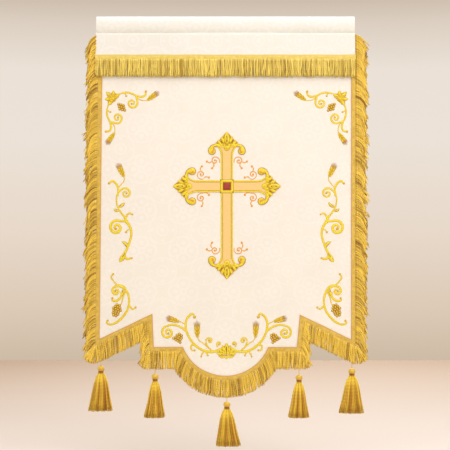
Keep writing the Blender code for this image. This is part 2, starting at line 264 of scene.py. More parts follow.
def damask_material(name, ground, figure, offset):
    """Jacquard satin: the figure is warp satin and glints, the ground is weft satin and is duller.

    The real threads are about 0.3 mm apart, drawn at WEAVE_PITCH so that the rib shows.
    """
    material, tree, shader = new_material(name, 0.55, Sheen_Weight=0.15, Sheen_Roughness=0.4)
    place = add_node(tree, "ShaderNodeTexCoord").outputs["Object"]
    repeat = add_node(tree, "ShaderNodeMapping", {
        "Vector": place,
        "Location": (offset[0], 0.0, offset[1]),
        "Scale": (1 / DAMASK_REPEAT[0], 0.0, 1 / DAMASK_REPEAT[1])}).outputs[0]
    wobble = add_node(tree, "ShaderNodeTexNoise", {"Vector": place, "Scale": 260.0, "Detail": 2.0})
    inside = add_node(tree, "ShaderNodeVectorMath", {0: repeat}, operation="FRACTION").outputs[0]
    centred = add_node(tree, "ShaderNodeVectorMath", {0: inside, 1: (0.5, 0.0, 0.5)},
                       operation="SUBTRACT").outputs[0]
    quarter = add_node(tree, "ShaderNodeVectorMath", {0: centred}, operation="ABSOLUTE").outputs[0]
    figure_mask = None
    for across, up, radius, half_line in DAMASK_FIGURES:
        away = add_node(tree, "ShaderNodeVectorMath", {0: quarter, 1: (across, 0.0, up)},
                        operation="DISTANCE").outputs["Value"]
        from_ring = add_node(tree, "ShaderNodeMath", {0: away, 1: radius}, operation="SUBTRACT").outputs[0]
        off = add_node(tree, "ShaderNodeMath", {0: from_ring}, operation="ABSOLUTE").outputs[0]
        ragged = add_node(tree, "ShaderNodeMath", {0: wobble.outputs[0], 1: 0.030, 2: off},
                          operation="MULTIPLY_ADD").outputs[0]
        line = add_node(tree, "ShaderNodeMapRange", {
            "Value": ragged, "From Min": half_line + 0.021, "From Max": half_line + 0.009},
            interpolation_type="SMOOTHSTEP").outputs[0]
        if figure_mask is None:
            figure_mask = line
        else:
            figure_mask = add_node(tree, "ShaderNodeMath", {0: figure_mask, 1: line},
                                   operation="MAXIMUM").outputs[0]
    cloudy = add_node(tree, "ShaderNodeTexNoise", {"Vector": place, "Scale": 9.0, "Detail": 3.0}).outputs[0]
    tone = add_node(tree, "ShaderNodeMix", {
        "Factor": figure_mask, "A": colour(ground), "B": colour(figure)}, data_type="RGBA")
    tree.links.new(figure_mask, tone.inputs[0])
    tone.inputs[6].default_value = colour(ground)
    tone.inputs[7].default_value = colour(figure)
    shadow = add_node(tree, "ShaderNodeMapRange", {"Value": cloudy, "To Min": 0.955, "To Max": 1.03}).outputs[0]
    toned = add_node(tree, "ShaderNodeVectorMath", {0: tone.outputs[2], "Scale": shadow}, operation="SCALE")
    tree.links.new(toned.outputs[0], shader.inputs["Base Color"])
    gloss = add_node(tree, "ShaderNodeMapRange", {"Value": figure_mask, "To Min": 0.62, "To Max": 0.44})
    tree.links.new(gloss.outputs[0], shader.inputs["Roughness"])

    ribs = []
    for direction in ("X", "Z"):
        rib = add_node(tree, "ShaderNodeTexWave", {
            "Vector": place, "Scale": 1 / WEAVE_PITCH / 3.14159, "Distortion": 0.6, "Detail": 1.0},
            bands_direction=direction)
        ribs.append(rib.outputs["Fac"])
    weave = add_node(tree, "ShaderNodeMix", {}, data_type="FLOAT")
    tree.links.new(figure_mask, weave.inputs[0])
    tree.links.new(ribs[1], weave.inputs[2])
    tree.links.new(ribs[0], weave.inputs[3])
    raised = add_node(tree, "ShaderNodeMath", {0: figure_mask, 1: 1.6, 2: weave.outputs[0]},
                      operation="MULTIPLY_ADD").outputs[0]
    bump = add_node(tree, "ShaderNodeBump", {"Height": raised, "Strength": 0.35, "Distance": 0.12 * MM})
    tree.links.new(bump.outputs[0], shader.inputs["Normal"])
    return material


def yarn_material(name, dark, light, roughness, twist_pitch, twist_strength, sheen=0.2):
    """Rayon yarn of glossy filaments: each ply's ridge is painted brighter and its groove darker in the colour, a
    painted highlight and painted shade beside the twist bump.
    """
    material, tree, shader = new_material(name, roughness, Sheen_Weight=sheen, Specular_IOR_Level=0.5)
    tint_and_painted_light = add_node(tree, "ShaderNodeAttribute", attribute_name="tint_and_painted_light").outputs["Fac"]
    unwrapped = add_node(tree, "ShaderNodeUVMap", uv_map="UVMap").outputs[0]
    parts = add_node(tree, "ShaderNodeSeparateXYZ", {0: unwrapped})
    along = add_node(tree, "ShaderNodeMath", {0: parts.outputs[1], 1: 1 / twist_pitch},
                     operation="MULTIPLY").outputs[0]
    turned = add_node(tree, "ShaderNodeMath", {0: parts.outputs[0], 1: 2.0, 2: along},
                      operation="MULTIPLY_ADD").outputs[0]
    angle = add_node(tree, "ShaderNodeMath", {0: turned, 1: 2 * math.pi}, operation="MULTIPLY").outputs[0]
    ply = add_node(tree, "ShaderNodeMath", {0: angle}, operation="SINE").outputs[0]
    ridge = add_node(tree, "ShaderNodeMapRange", {"Value": ply, "From Min": -1.0, "From Max": 1.0}).outputs[0]
    # Painted highlight and painted shade: the twist's ridge lightens the colour and its groove darkens it.
    tone_with_painted_ridge_light = add_node(tree, "ShaderNodeMath", {0: ridge, 1: 0.25, 2: tint_and_painted_light}, operation="MULTIPLY_ADD").outputs[0]
    ramp = add_node(tree, "ShaderNodeValToRGB", {"Fac": tone_with_painted_ridge_light})
    ramp.color_ramp.elements[0].position = 0.10
    ramp.color_ramp.elements[0].color = colour(dark)
    ramp.color_ramp.elements[1].position = 0.95
    ramp.color_ramp.elements[1].color = colour(light)
    tree.links.new(ramp.outputs[0], shader.inputs["Base Color"])
    bump = add_node(tree, "ShaderNodeBump", {"Height": ridge, "Strength": twist_strength, "Distance": 0.5 * MM})
    tree.links.new(bump.outputs[0], shader.inputs["Normal"])
    return material


def satin_material(name, dark, light, roughness, stitch_pitch=0.9 * MM, slant=0.35):
    """Satin stitch: parallel glossy threads laid across the shape, a little slanted.

    The thread is 0.4 mm, drawn at stitch_pitch so that it shows. UV runs in metres, along and across.
    """
    material, tree, shader = new_material(name, roughness, Sheen_Weight=0.15)
    unwrapped = add_node(tree, "ShaderNodeUVMap", uv_map="UVMap").outputs[0]
    parts = add_node(tree, "ShaderNodeSeparateXYZ", {0: unwrapped})
    leaned = add_node(tree, "ShaderNodeMath", {0: parts.outputs[1], 1: slant, 2: parts.outputs[0]},
                      operation="MULTIPLY_ADD").outputs[0]
    angle = add_node(tree, "ShaderNodeMath", {0: leaned, 1: 2 * math.pi / stitch_pitch},
                     operation="MULTIPLY").outputs[0]
    thread = add_node(tree, "ShaderNodeMath", {0: angle}, operation="SINE").outputs[0]
    ridge = add_node(tree, "ShaderNodeMapRange", {"Value": thread, "From Min": -1.0, "From Max": 1.0}).outputs[0]
    place = add_node(tree, "ShaderNodeTexCoord").outputs["Object"]
    uneven = add_node(tree, "ShaderNodeTexNoise", {"Vector": place, "Scale": 420.0, "Detail": 2.0}).outputs[0]
    # Painted highlight and painted shade: each thread's crown lightens the colour and the gap between threads darkens
    # it; the noise is uneven tone.
    tone_with_painted_ridge_light = add_node(tree, "ShaderNodeMath", {0: ridge, 1: 0.35, 2: uneven}, operation="MULTIPLY_ADD").outputs[0]
    ramp = add_node(tree, "ShaderNodeValToRGB", {"Fac": tone_with_painted_ridge_light})
    ramp.color_ramp.elements[0].position = 0.35
    ramp.color_ramp.elements[0].color = colour(dark)
    ramp.color_ramp.elements[1].position = 0.90
    ramp.color_ramp.elements[1].color = colour(light)
    tree.links.new(ramp.outputs[0], shader.inputs["Base Color"])
    bump = add_node(tree, "ShaderNodeBump", {"Height": ridge, "Strength": 0.45, "Distance": 0.25 * MM})
    tree.links.new(bump.outputs[0], shader.inputs["Normal"])
    return material


def tape_material(name, dark, light, edge):
    """Woven fringe heading: a glossy ribbed band, coloured darker in a thin strip along its inner edge."""
    material, tree, shader = new_material(name, 0.42, Sheen_Weight=0.2)
    unwrapped = add_node(tree, "ShaderNodeUVMap", uv_map="UVMap").outputs[0]
    parts = add_node(tree, "ShaderNodeSeparateXYZ", {0: unwrapped})
    waves = []
    for share, pitch in ((parts.outputs[0], 1.6 * MM), (parts.outputs[1], 2.6 * MM)):
        angle = add_node(tree, "ShaderNodeMath", {0: share, 1: 2 * math.pi / pitch},
                         operation="MULTIPLY").outputs[0]
        waves.append(add_node(tree, "ShaderNodeMath", {0: angle}, operation="SINE").outputs[0])
    crossed = add_node(tree, "ShaderNodeMath", {0: waves[0], 1: waves[1]}, operation="MULTIPLY").outputs[0]
    ridge = add_node(tree, "ShaderNodeMapRange", {"Value": crossed, "From Min": -1.0, "From Max": 1.0}).outputs[0]
    place = add_node(tree, "ShaderNodeTexCoord").outputs["Object"]
    uneven = add_node(tree, "ShaderNodeTexNoise", {"Vector": place, "Scale": 120.0, "Detail": 3.0}).outputs[0]
    # Painted highlight and painted shade: the weave's ridges lighten the colour and its hollows darken it; the noise
    # is uneven tone.
    tone_with_painted_ridge_light = add_node(tree, "ShaderNodeMath", {0: ridge, 1: 0.4, 2: uneven}, operation="MULTIPLY_ADD").outputs[0]
    ramp = add_node(tree, "ShaderNodeValToRGB", {"Fac": tone_with_painted_ridge_light})
    ramp.color_ramp.elements[0].position = 0.40
    ramp.color_ramp.elements[0].color = colour(dark)
    ramp.color_ramp.elements[1].position = 0.95
    ramp.color_ramp.elements[1].color = colour(light)
    inner_line = add_node(tree, "ShaderNodeMapRange", {
        "Value": parts.outputs[1], "From Min": TAPE_WIDTH - 2.6 * MM, "From Max": TAPE_WIDTH - 1.8 * MM},
        interpolation_type="SMOOTHSTEP").outputs[0]
    tone = add_node(tree, "ShaderNodeMix", {}, data_type="RGBA")
    tree.links.new(inner_line, tone.inputs[0])
    tree.links.new(ramp.outputs[0], tone.inputs[6])
    tone.inputs[7].default_value = colour(edge)
    tree.links.new(tone.outputs[2], shader.inputs["Base Color"])
    bump = add_node(tree, "ShaderNodeBump", {"Height": ridge, "Strength": 0.5, "Distance": 0.3 * MM})
    tree.links.new(bump.outputs[0], shader.inputs["Normal"])
    return material


# The cloth and the sleeve

def corner(name, side):
    left_x, left_z, right_x, right_z = CLOTH_CORNERS[name]
    return Vector((left_x, left_z)) * MM if side == "left" else Vector((right_x, right_z)) * MM


def lobe_end(radius, z, side):
    half = math.sqrt(radius ** 2 - (z - LOBE_CENTRE.y) ** 2)
    return Vector((LOBE_CENTRE.x + (half if side == "right" else -half), z))


def lobe_point(radius, angle):
    return LOBE_CENTRE + radius * Vector((math.sin(angle), -math.cos(angle)))


def lobe_angle(point):
    return math.atan2(point.x - LOBE_CENTRE.x, LOBE_CENTRE.y - point.y)


def cloth_edge():
    points = [corner(name, "left") for name in CLOTH_CORNERS]
    start = lobe_angle(lobe_end(LOBE_RADIUS, points[-1].y, "left"))
    end = lobe_angle(lobe_end(LOBE_RADIUS, corner("step foot", "right").y, "right"))
    for step in range(LOBE_STEPS + 1):
        points.append(lobe_point(LOBE_RADIUS, start + (end - start) * step / LOBE_STEPS))
    points.extend(corner(name, "right") for name in reversed(list(CLOTH_CORNERS)))
    return points


def cut_cloth(name, outline, y, material):
    """A flat face cut to an outline of (x, z) points, standing upright at y."""
    deselect()
    bpy.ops.mesh.primitive_circle_add(vertices=len(outline), radius=1.0, fill_type="NGON")
    thing = named(name, material)
    for vert, point in zip(thing.data.vertices, outline):
        vert.co = (point[0], y, point[1])
    return thing


def score(thing, spacing, low, high):
    """Cuts a flat piece into a grid, so that it can ripple."""
    pick(thing)
    bpy.ops.object.mode_set(mode="EDIT")
    for axis, direction in ((0, (1, 0, 0)), (2, (0, 0, 1))):
        count = math.ceil((high[axis] - low[axis]) / spacing)
        for line in range(1, count):
            place = [0.0, 0.0, 0.0]
            place[axis] = low[axis] + (high[axis] - low[axis]) * (line + 0.013) / count
            bpy.ops.mesh.select_all(action="SELECT")
            bpy.ops.mesh.bisect(plane_co=place, plane_no=direction)
    bpy.ops.object.mode_set(mode="OBJECT")


def build_cloth(material):
    cloth = cut_cloth("cloth", cloth_edge(), 0.0, material)
    low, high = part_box("panel")
    score(cloth, CLOTH_GRID, low, high)
    apply_modifier(cloth, "SOLIDIFY", thickness=CLOTH_THICKNESS, offset=0.0)
    face_outwards(cloth)
    hang(cloth)
    shade(cloth, 40)
    return cloth


def sleeve_section(belly):
    """(y, z) points along the middle of the folded strip, front foot to back foot."""
    half_height = POCKET_HEIGHT / 2
    centre_z = -SLEEVE_THICKNESS / 2 - half_height
    pinch = math.asin(SEAM_HALF_GAP / (POCKET_DEPTH / 2 * belly))
    section = [(SLEEVE_FRONT_Y, SLEEVE_FOOT), (SLEEVE_FRONT_Y, SEAM_Z - 2 * MM), (SLEEVE_FRONT_Y + 0.4 * MM, SEAM_Z)]
    for step in range(33):
        angle = pinch + (2 * math.pi - 2 * pinch) * step / 32
        section.append((-math.sin(angle) * POCKET_DEPTH / 2 * belly,
                        centre_z - math.cos(angle) * half_height))
    section += [(SLEEVE_BACK_Y, SEAM_Z), (SLEEVE_BACK_Y, SLEEVE_BACK_FOOT)]
    return section


def build_sleeve(material):
    """A strip wrapped round the pocket: a grid laid along the folded section."""
    across, around = 240, 76
    deselect()
    bpy.ops.mesh.primitive_grid_add(x_subdivisions=across, y_subdivisions=around, size=2.0)
    sleeve = named("sleeve_cloth", material)
    rows = []
    for column in range(across + 1):
        along = column / across
        section = np.array(sleeve_section(1.0 + 0.10 * math.sin(2.4 * math.pi * along + 0.6)))
        travelled = np.concatenate([[0.0], np.cumsum(np.linalg.norm(np.diff(section, axis=0), axis=1))])
        shares = np.linspace(0.0, travelled[-1], around + 1)
        ys = np.interp(shares, travelled, section[:, 0])
        zs = np.interp(shares, travelled, section[:, 1])
        rows.append((ys, zs))
    for vert in sleeve.data.vertices:
        column = round((vert.co.x + 1) / 2 * across)
        row = round((vert.co.y + 1) / 2 * around)
        along = column / across
        y, z = rows[column][0][row], rows[column][1][row]
        fall = z / SLEEVE_FOOT
        left = SLEEVE_LEFT[0] + (SLEEVE_LEFT[1] - SLEEVE_LEFT[0]) * fall
        right = SLEEVE_RIGHT[0] + (SLEEVE_RIGHT[1] - SLEEVE_RIGHT[0]) * fall
        x = left + (right - left) * along
        side = -1 if y < 0 else 1
        from_seam = (z - SEAM_Z) / (5 * MM)
        pucker = 0.22 * MM * math.sin(2 * math.pi * x / (11 * MM) + 1.3 * math.sin(x * 31)) * math.exp(-from_seam ** 2)
        soft = 0.5 * MM * math.sin(2 * math.pi * (x / 0.21 + 0.3)) * math.exp(-((z + 0.022) / 0.018) ** 2)
        vert.co = (x, y + side * (pucker * 0.6 + soft), z)
    apply_modifier(sleeve, "SOLIDIFY", thickness=SLEEVE_THICKNESS, offset=0.0)
    face_outwards(sleeve)
    shade(sleeve, 50)
    return sleeve


# The fringe

def offset_corner(before, at, after, distance):
    into = (at - before).normalized()
    out = (after - at).normalized()
    into_side = Vector((into.y, -into.x))
    out_side = Vector((out.y, -out.x))
    mitre = (into_side + out_side).normalized()
    return at + mitre * (distance / mitre.dot(into_side))


def straight_edge(start, end):
    return lambda share: start.lerp(end, share)


def lobe_edge(start, end):
    radius = (start - LOBE_CENTRE).length
    first = lobe_angle(start)
    last = lobe_angle(end)
    return lambda share: lobe_point(radius, first + (last - first) * share)


def fringe_runs():
    """Each length of fringe: its two edges, its length, its depth, and how its strands fall.

    The fall gives two shares, for the root and the tip: 0 is straight out from the tape, 1 straight down.
    """
    runs = []
    lobe_ends = {}
    for side, sign in (("left", -1), ("right", 1)):
        shoulder, point, notch, foot = (corner(name, side) for name in CLOTH_CORNERS)
        lobe = lobe_end(LOBE_RADIUS, foot.y, side)
        outer_by = -sign * (TAPE_WIDTH - TAPE_LAP)
        inner_by = sign * TAPE_LAP
        lines = (
            (shoulder + (shoulder - point), shoulder, point),
            (shoulder, point, notch),
            (point, notch, foot),
            (notch, foot, lobe),
        )
        outer = [offset_corner(*line, outer_by) for line in lines]
        inner = [offset_corner(*line, inner_by) for line in lines]
        outer.append(lobe_end(LOBE_RADIUS + TAPE_WIDTH - TAPE_LAP, outer[3].y, side))
        inner.append(lobe_end(LOBE_RADIUS - TAPE_LAP, inner[3].y, side))
        lobe_ends[side] = (outer[4], inner[4])

        def side_fall(share):
            foot_turn = ease(share, 0.975, 1.0)
            return 0.26 + 0.30 * foot_turn, 0.93

        def slope_fall(share):
            return 0.72 - 0.15 * share, 1.0

        def step_fall(share):
            foot_turn = ease(share, 0.80, 1.0)
            return 0.42 + 0.30 * foot_turn, 0.97

        def flat_fall(share):
            return 0.9, 1.0

        rows = (
            # name, how the strands fall, how wildly they differ, strands fanned round the last corner
            (f"fringe_{side}", side_fall, 0.13, 14),
            (f"fringe_slope_{side}", slope_fall, 0.05, 0),
            (f"fringe_step_{side}", step_fall, 0.08, 10),
            (f"fringe_flat_{side}", flat_fall, 0.03, 0),
        )
        for index, (name, fall, wild, fan) in enumerate(rows):
            runs.append({
                "name": name, "fall": fall, "wild": wild, "fan": fan, "y": EDGE_TAPE_Y,
                "length": (outer[index + 1] - outer[index]).length,
                "outer": straight_edge(outer[index], outer[index + 1]),
                "inner": straight_edge(inner[index], inner[index + 1])})

    left, right = lobe_ends["left"], lobe_ends["right"]
    sweep = lobe_angle(right[0]) - lobe_angle(left[0])
    runs.append({
        "name": "fringe_lobe", "fall": lambda share: (0.45, 0.95), "wild": 0.06, "fan": 0, "y": EDGE_TAPE_Y,
        "length": sweep * (LOBE_RADIUS + TAPE_WIDTH - TAPE_LAP),
        "outer": lobe_edge(left[0], right[0]), "inner": lobe_edge(left[1], right[1])})
    top_left = Vector((TOP_TAPE_LEFT, TOP_TAPE_Z - TAPE_WIDTH))
    top_right = Vector((TOP_TAPE_RIGHT, TOP_TAPE_Z - TAPE_WIDTH))
    up = Vector((0.0, TAPE_WIDTH))
    runs.append({
        "name": "fringe_top", "fall": lambda share: (0.95, 1.0), "wild": 0.02, "fan": 0, "y": TOP_TAPE_Y,
        "length": TOP_TAPE_RIGHT - TOP_TAPE_LEFT,
        "outer": straight_edge(top_left, top_right), "inner": straight_edge(top_left + up, top_right + up)})
    return runs


def build_tape(run, material):
    """The woven band that the strands hang from, laid along the cloth's edge."""
    columns = max(4, round(run["length"] / (4 * MM)))
    rows = 6
    deselect()
    bpy.ops.mesh.primitive_grid_add(x_subdivisions=columns, y_subdivisions=rows, size=2.0, calc_uvs=True)
    tape = named(run["name"] + "_tape", material)
    waver = random.Random(run["name"]).uniform(0, 6)
    for vert in tape.data.vertices:
        along = (vert.co.x + 1) / 2
        across = (vert.co.y + 1) / 2
        low, high = run["outer"](along), run["inner"](along)
        place = low.lerp(high, across)
        uneven = 0.25 * MM * math.sin(along * run["length"] / (17 * MM) + waver)
        domed = -0.35 * MM * math.sin(math.pi * across)
        vert.co = (place.x + uneven * (across - 0.5), run["y"] + domed, place.y + uneven)
    for corner_uv in tape.data.uv_layers.active.data:
        corner_uv.uv = (corner_uv.uv[0] * run["length"], corner_uv.uv[1] * TAPE_WIDTH)
    tape.data.uv_layers.active.name = "UVMap"
    apply_modifier(tape, "SOLIDIFY", thickness=TAPE_THICKNESS, offset=0.0)
    face_outwards(tape)
    hang(tape)
    shade(tape, 50)
    return tape


def strand_paths(run, chance):
    """The middle line of each strand: clumps in layers, wavy, and falling from outwards to down."""
    count = round(run["length"] / STRAND_PITCH)
    paths = []
    tints_and_painted_light = []
    for layer in range(STRAND_LAYERS):
        clump_left = 0
        for index in range(count + run["fan"]):
            if clump_left == 0:
                clump_left = chance.randint(2, 7)
                clump_middle = index + clump_left / 2
                clump_fall = chance.gauss(0, run["wild"])
                clump_length = chance.gauss(0, 0.8 * MM)
                clump_lift = chance.uniform(0, 1.6) * MM
                clump_tint = chance.gauss(0, 0.12)
                clump_draw = chance.uniform(0.0, 0.35)
                clump_wave = chance.gauss(0, 1.0) * MM
                clump_phase = chance.uniform(0, 6.3)
            clump_left -= 1
            fanned = index >= count
            share = 0.998 if fanned else (index + 0.5 + chance.uniform(-0.4, 0.4)) / count
            share = min(0.998, max(0.002, share))
            root = run["outer"](share)
            ahead = (run["outer"](share + 0.002) - run["outer"](share - 0.002)).normalized()
            outward = Vector((ahead.y, -ahead.x))
            if outward.dot(root - run["inner"](share)) < 0:
                outward = -outward
            first, last = run["fall"](share)
            if fanned:
                first = chance.uniform(0.30, 0.90)
                last = chance.uniform(0.60, 1.0)
            last = min(1.06, last + clump_fall + chance.gauss(0, 0.04))
            length = STRAND_LENGTH + clump_length + chance.gauss(0, 0.7 * MM)
            lean = chance.gauss(0, 0.05)
            pull = 0.0 if fanned else (clump_middle - index) * STRAND_PITCH * clump_draw
            wave = clump_wave + chance.gauss(0, 0.5) * MM
            phase = clump_phase + chance.uniform(-0.5, 0.5)
            place = root - outward * 1.5 * MM
            depth = run["y"] - (layer - (STRAND_LAYERS - 1) / 2) * 1.5 * MM
            path = []
            for step in range(STRAND_RINGS):
                t = step / (STRAND_RINGS - 1)
                fall = first + (last - first) * t ** 0.8
                heading = Vector((outward.x * (1 - fall) + lean, outward.y * (1 - fall) - fall)).normalized()
                sway = wave * t * math.sin(7.5 * t + phase)
                path.append((place.x + ahead.x * pull * t * t - heading.y * sway,
                             depth - clump_lift * math.sin(2.5 * t) + 0.5 * wave * t * math.cos(6 * t + phase),
                             place.y + ahead.y * pull * t * t + heading.x * sway))
                place = place + heading * (length / (STRAND_RINGS - 1))
            paths.append(path)
            # Tint: random by clump and strand, plus painted shade, each layer further back drawn darker than the one
            # in front.
            tints_and_painted_light.append(min(1.0, max(0.0, 0.42 + clump_tint + chance.gauss(0, 0.20) + 0.09 * layer)))
    return np.array(paths), np.array(tints_and_painted_light)


def tube_arrays(paths, tints_and_painted_light, radii, sides, flat=0.82, turn=0.9):
    """Closed tubes round many paths at once; the section is a little flat and turns, like a twisted cord."""
    count, rings, _ = paths.shape
    tangents = np.gradient(paths, axis=1)
    tangents /= np.linalg.norm(tangents, axis=2, keepdims=True)
    side = np.cross(tangents, np.array([0.0, 1.0, 0.0]))
    side /= np.linalg.norm(side, axis=2, keepdims=True)
    up = np.cross(side, tangents)
    angles = 2 * math.pi * np.arange(sides) / sides
    roll = turn * np.arange(rings)
    local = angles[None, :] - roll[:, None]
    a = np.cos(angles)[None, :] * np.ones((rings, 1))
    b = np.sin(angles)[None, :] * np.ones((rings, 1))
    squeeze = flat + (1 - flat) * np.cos(local) ** 2
    a = a * squeeze
    b = b * squeeze
    verts = (paths[:, :, None, :]
             + side[:, :, None, :] * (a * radii[:, None])[None, :, :, None]
             + up[:, :, None, :] * (b * radii[:, None])[None, :, :, None])
    verts = verts.reshape(-1, 3)
    base = (np.arange(count) * rings * sides)[:, None, None]
    ring = (np.arange(rings - 1) * sides)[None, :, None]
    turned = np.arange(sides)[None, None, :]
    following = (turned + 1) % sides
    quads = np.stack([base + ring + turned, base + ring + sides + turned,
                      base + ring + sides + following, base + ring + following], axis=-1).reshape(-1, 4)
    lengths = np.concatenate([np.zeros((count, 1)),
                              np.cumsum(np.linalg.norm(np.diff(paths, axis=1), axis=2), axis=1)], axis=1)
    low = lengths[:, :-1, None] * np.ones((1, 1, sides))
    high = lengths[:, 1:, None] * np.ones((1, 1, sides))
    u0 = (turned / sides) * np.ones_like(low)
    u1 = ((turned + 1) / sides) * np.ones_like(low)
    uvs = np.stack([np.stack([u0, low], -1), np.stack([u0, high], -1),
                    np.stack([u1, high], -1), np.stack([u1, low], -1)], axis=-2).reshape(-1, 2)
    caps = []
    cap_uvs = []
    for index in range(count):
        start = index * rings * sides
        end = start + (rings - 1) * sides
        caps.append([start + k for k in range(sides)])
        caps.append([end + k for k in reversed(range(sides))])
        cap_uvs += [(0.5, 0.0)] * sides + [(0.5, lengths[index, -1])] * sides
    faces = quads.tolist() + caps
    all_uvs = np.concatenate([uvs, np.array(cap_uvs)])
    return verts, faces, all_uvs, np.repeat(tints_and_painted_light, rings * sides)


def build_strands(run, material):
    chance = random.Random(run["name"] + " strands")
    paths, tints_and_painted_light = strand_paths(run, chance)
    radii = STRAND_RADIUS * np.array([0.9] + [1.0] * (STRAND_RINGS - 3) + [0.95, 0.5])
    verts, faces, uvs, tints_and_painted_light = tube_arrays(paths, tints_and_painted_light, radii, STRAND_SIDES)
    strands = mesh_from_arrays(run["name"] + "_strands", verts.tolist(), faces, material, uvs, tints_and_painted_light)
    hang(strands)
    return strands


# The tassels

def build_tassel(name, row, yarn, wrap_yarn):
    """A wound head on a cord, a wrapped neck, and a skirt of fine threads."""
    head_x, head_z, foot_z, foot_width, shift, cord_z = (value * MM for value in row)
    chance = random.Random(name)
    neck_z = head_z - NECK_DROP
    back = TASSEL_Y + float(ripple(np.array(head_x), np.array(cord_z)))

    deselect()
    bpy.ops.mesh.primitive_uv_sphere_add(segments=48, ring_count=20, radius=HEAD_RADIUS, calc_uvs=True)
    head = named(name + "_head", yarn)
    for vert in head.data.vertices:
        around = math.atan2(vert.co.y, vert.co.x)
        height = vert.co.z / HEAD_RADIUS
        groove = 1.0 + 0.06 * math.cos(around * 16) * (1 - height ** 2)
        narrow = 1.0 - 0.10 * max(0.0, -height) ** 2
        vert.co = (vert.co.x * groove * narrow, vert.co.y * groove * narrow, vert.co.z * 0.88)
        vert.co += Vector((head_x, back, head_z - HEAD_RADIUS * 0.88))
    pick(head)
    shade(head, 60)
    for corner_uv in head.data.uv_layers.active.data:
        corner_uv.uv = (corner_uv.uv[0] * 12, corner_uv.uv[1] * 0.002)
    head.data.uv_layers.active.name = "UVMap"
    # Painted light on the head: its tint is lighter towards the top (painted highlight) and darker in the grooves
    # between the windings (painted shade).
    layer = head.data.attributes.new("tint_and_painted_light", "FLOAT", "POINT")
    heights = [(vert.co.z - head_z) / (2 * HEAD_RADIUS * 0.88) for vert in head.data.vertices]
    angles = [math.atan2(vert.co.y - back, vert.co.x - head_x) for vert in head.data.vertices]
    layer.data.foreach_set("value", [0.62 + 0.22 * math.cos(angle * 16) + 0.35 * height
                                     for angle, height in zip(angles, heights)])

    paths = []
    tints_and_painted_light = []
    for turn in range(4):
        rings = 25
        radius = NECK_RADIUS * (1.02 if turn in (1, 2) else 0.98)
        z = neck_z + (2.6 - turn * 1.25) * MM
        angles = np.linspace(0, 2 * math.pi, rings)
        paths.append(np.stack([head_x + radius * np.cos(angles), back + radius * np.sin(angles),
                               np.full(rings, z)], axis=1))
        tints_and_painted_light.append(0.15)
    verts, faces, uvs, point_tints_and_painted_light = loop_arrays(np.array(paths), np.array(tints_and_painted_light), 0.75 * MM, 6)
    wrap = mesh_from_arrays(name + "_neck", verts.tolist(), faces, wrap_yarn, uvs, point_tints_and_painted_light)

    skirt_length = neck_z - foot_z
    stations = np.array([0.0, 0.06, 0.15, 0.31, 0.48, 0.64, 0.82, 1.0])
    spreads = np.array([0.20, 0.27, 0.42, 0.56, 0.66, 0.75, 0.88, 1.0])
    paths = []
    tints_and_painted_light = []
    thread_count = 420
    for index in range(thread_count):
        around = 2 * math.pi * (index * 0.6180339887 % 1.0)
        rank = math.sqrt((index + 0.5) / thread_count)
        rank = 0.35 + 0.65 * rank
        clump = math.sin(around * 9 + 1.7) * 0.05 + math.sin(around * 5 + chance.uniform(0, 0.4)) * 0.04
        out = rank * (1 + clump) + chance.gauss(0, 0.012)
        drop = skirt_length * (1 + chance.gauss(0, 0.008) - 0.012 * (1 - rank))
        bend = chance.gauss(0, 1.0) * MM
        path = []
        for share, spread in zip(stations, spreads):
            half = foot_width / 2 * spread * out
            x = head_x + half * math.cos(around) + shift * share ** 2 + bend * share * math.sin(share * 4)
            y = back + half * 0.50 * math.sin(around) * (0.75 + 0.25 * share)
            y = back + (y - back) * (1.0 if share > 0.1 else 1.35)
            path.append((x, y, neck_z - drop * share))
        paths.append(path)
        # The clump wave also lifts the tint where threads bunch out and lowers it between clumps: painted shade, on
        # top of random tone.
        tints_and_painted_light.append(min(1.0, max(0.0, 0.42 + 0.20 * math.sin(around * 9 + 1.7) + chance.gauss(0, 0.16))))
    radii = np.array([0.55, 0.6, 0.7, 0.8, 0.85, 0.85, 0.85, 0.6]) * MM
    verts, faces, uvs, point_tints_and_painted_light = tube_arrays(np.array(paths), np.array(tints_and_painted_light), radii, 4, flat=1.0, turn=0.0)
    # Painted highlight: the tint is raised in a band just below the neck and lowered a little elsewhere.
    share_down = np.clip((neck_z - verts[:, 2]) / skirt_length, 0, 1)
    point_tints_and_painted_light = np.clip(point_tints_and_painted_light + 0.42 * np.exp(-((share_down - 0.12) / 0.16) ** 2) - 0.06, 0, 1.2)
    skirt = mesh_from_arrays(name + "_skirt", verts.tolist(), faces, yarn, uvs, point_tints_and_painted_light)

    cord_top = cord_z
    rings = 24
    heights = np.linspace(cord_top, head_z - 1.0 * MM, rings)
    path = np.stack([np.full(rings, head_x), np.full(rings, back), heights], axis=1)
    verts, faces, uvs, point_tints_and_painted_light = tube_arrays(path[None], np.array([0.5]), np.full(rings, 1.0 * MM), 8, 0.7, 1.0)
    cord = mesh_from_arrays(name + "_cord", verts.tolist(), faces, yarn, uvs, point_tints_and_painted_light)
    return [skirt, head, wrap, cord]


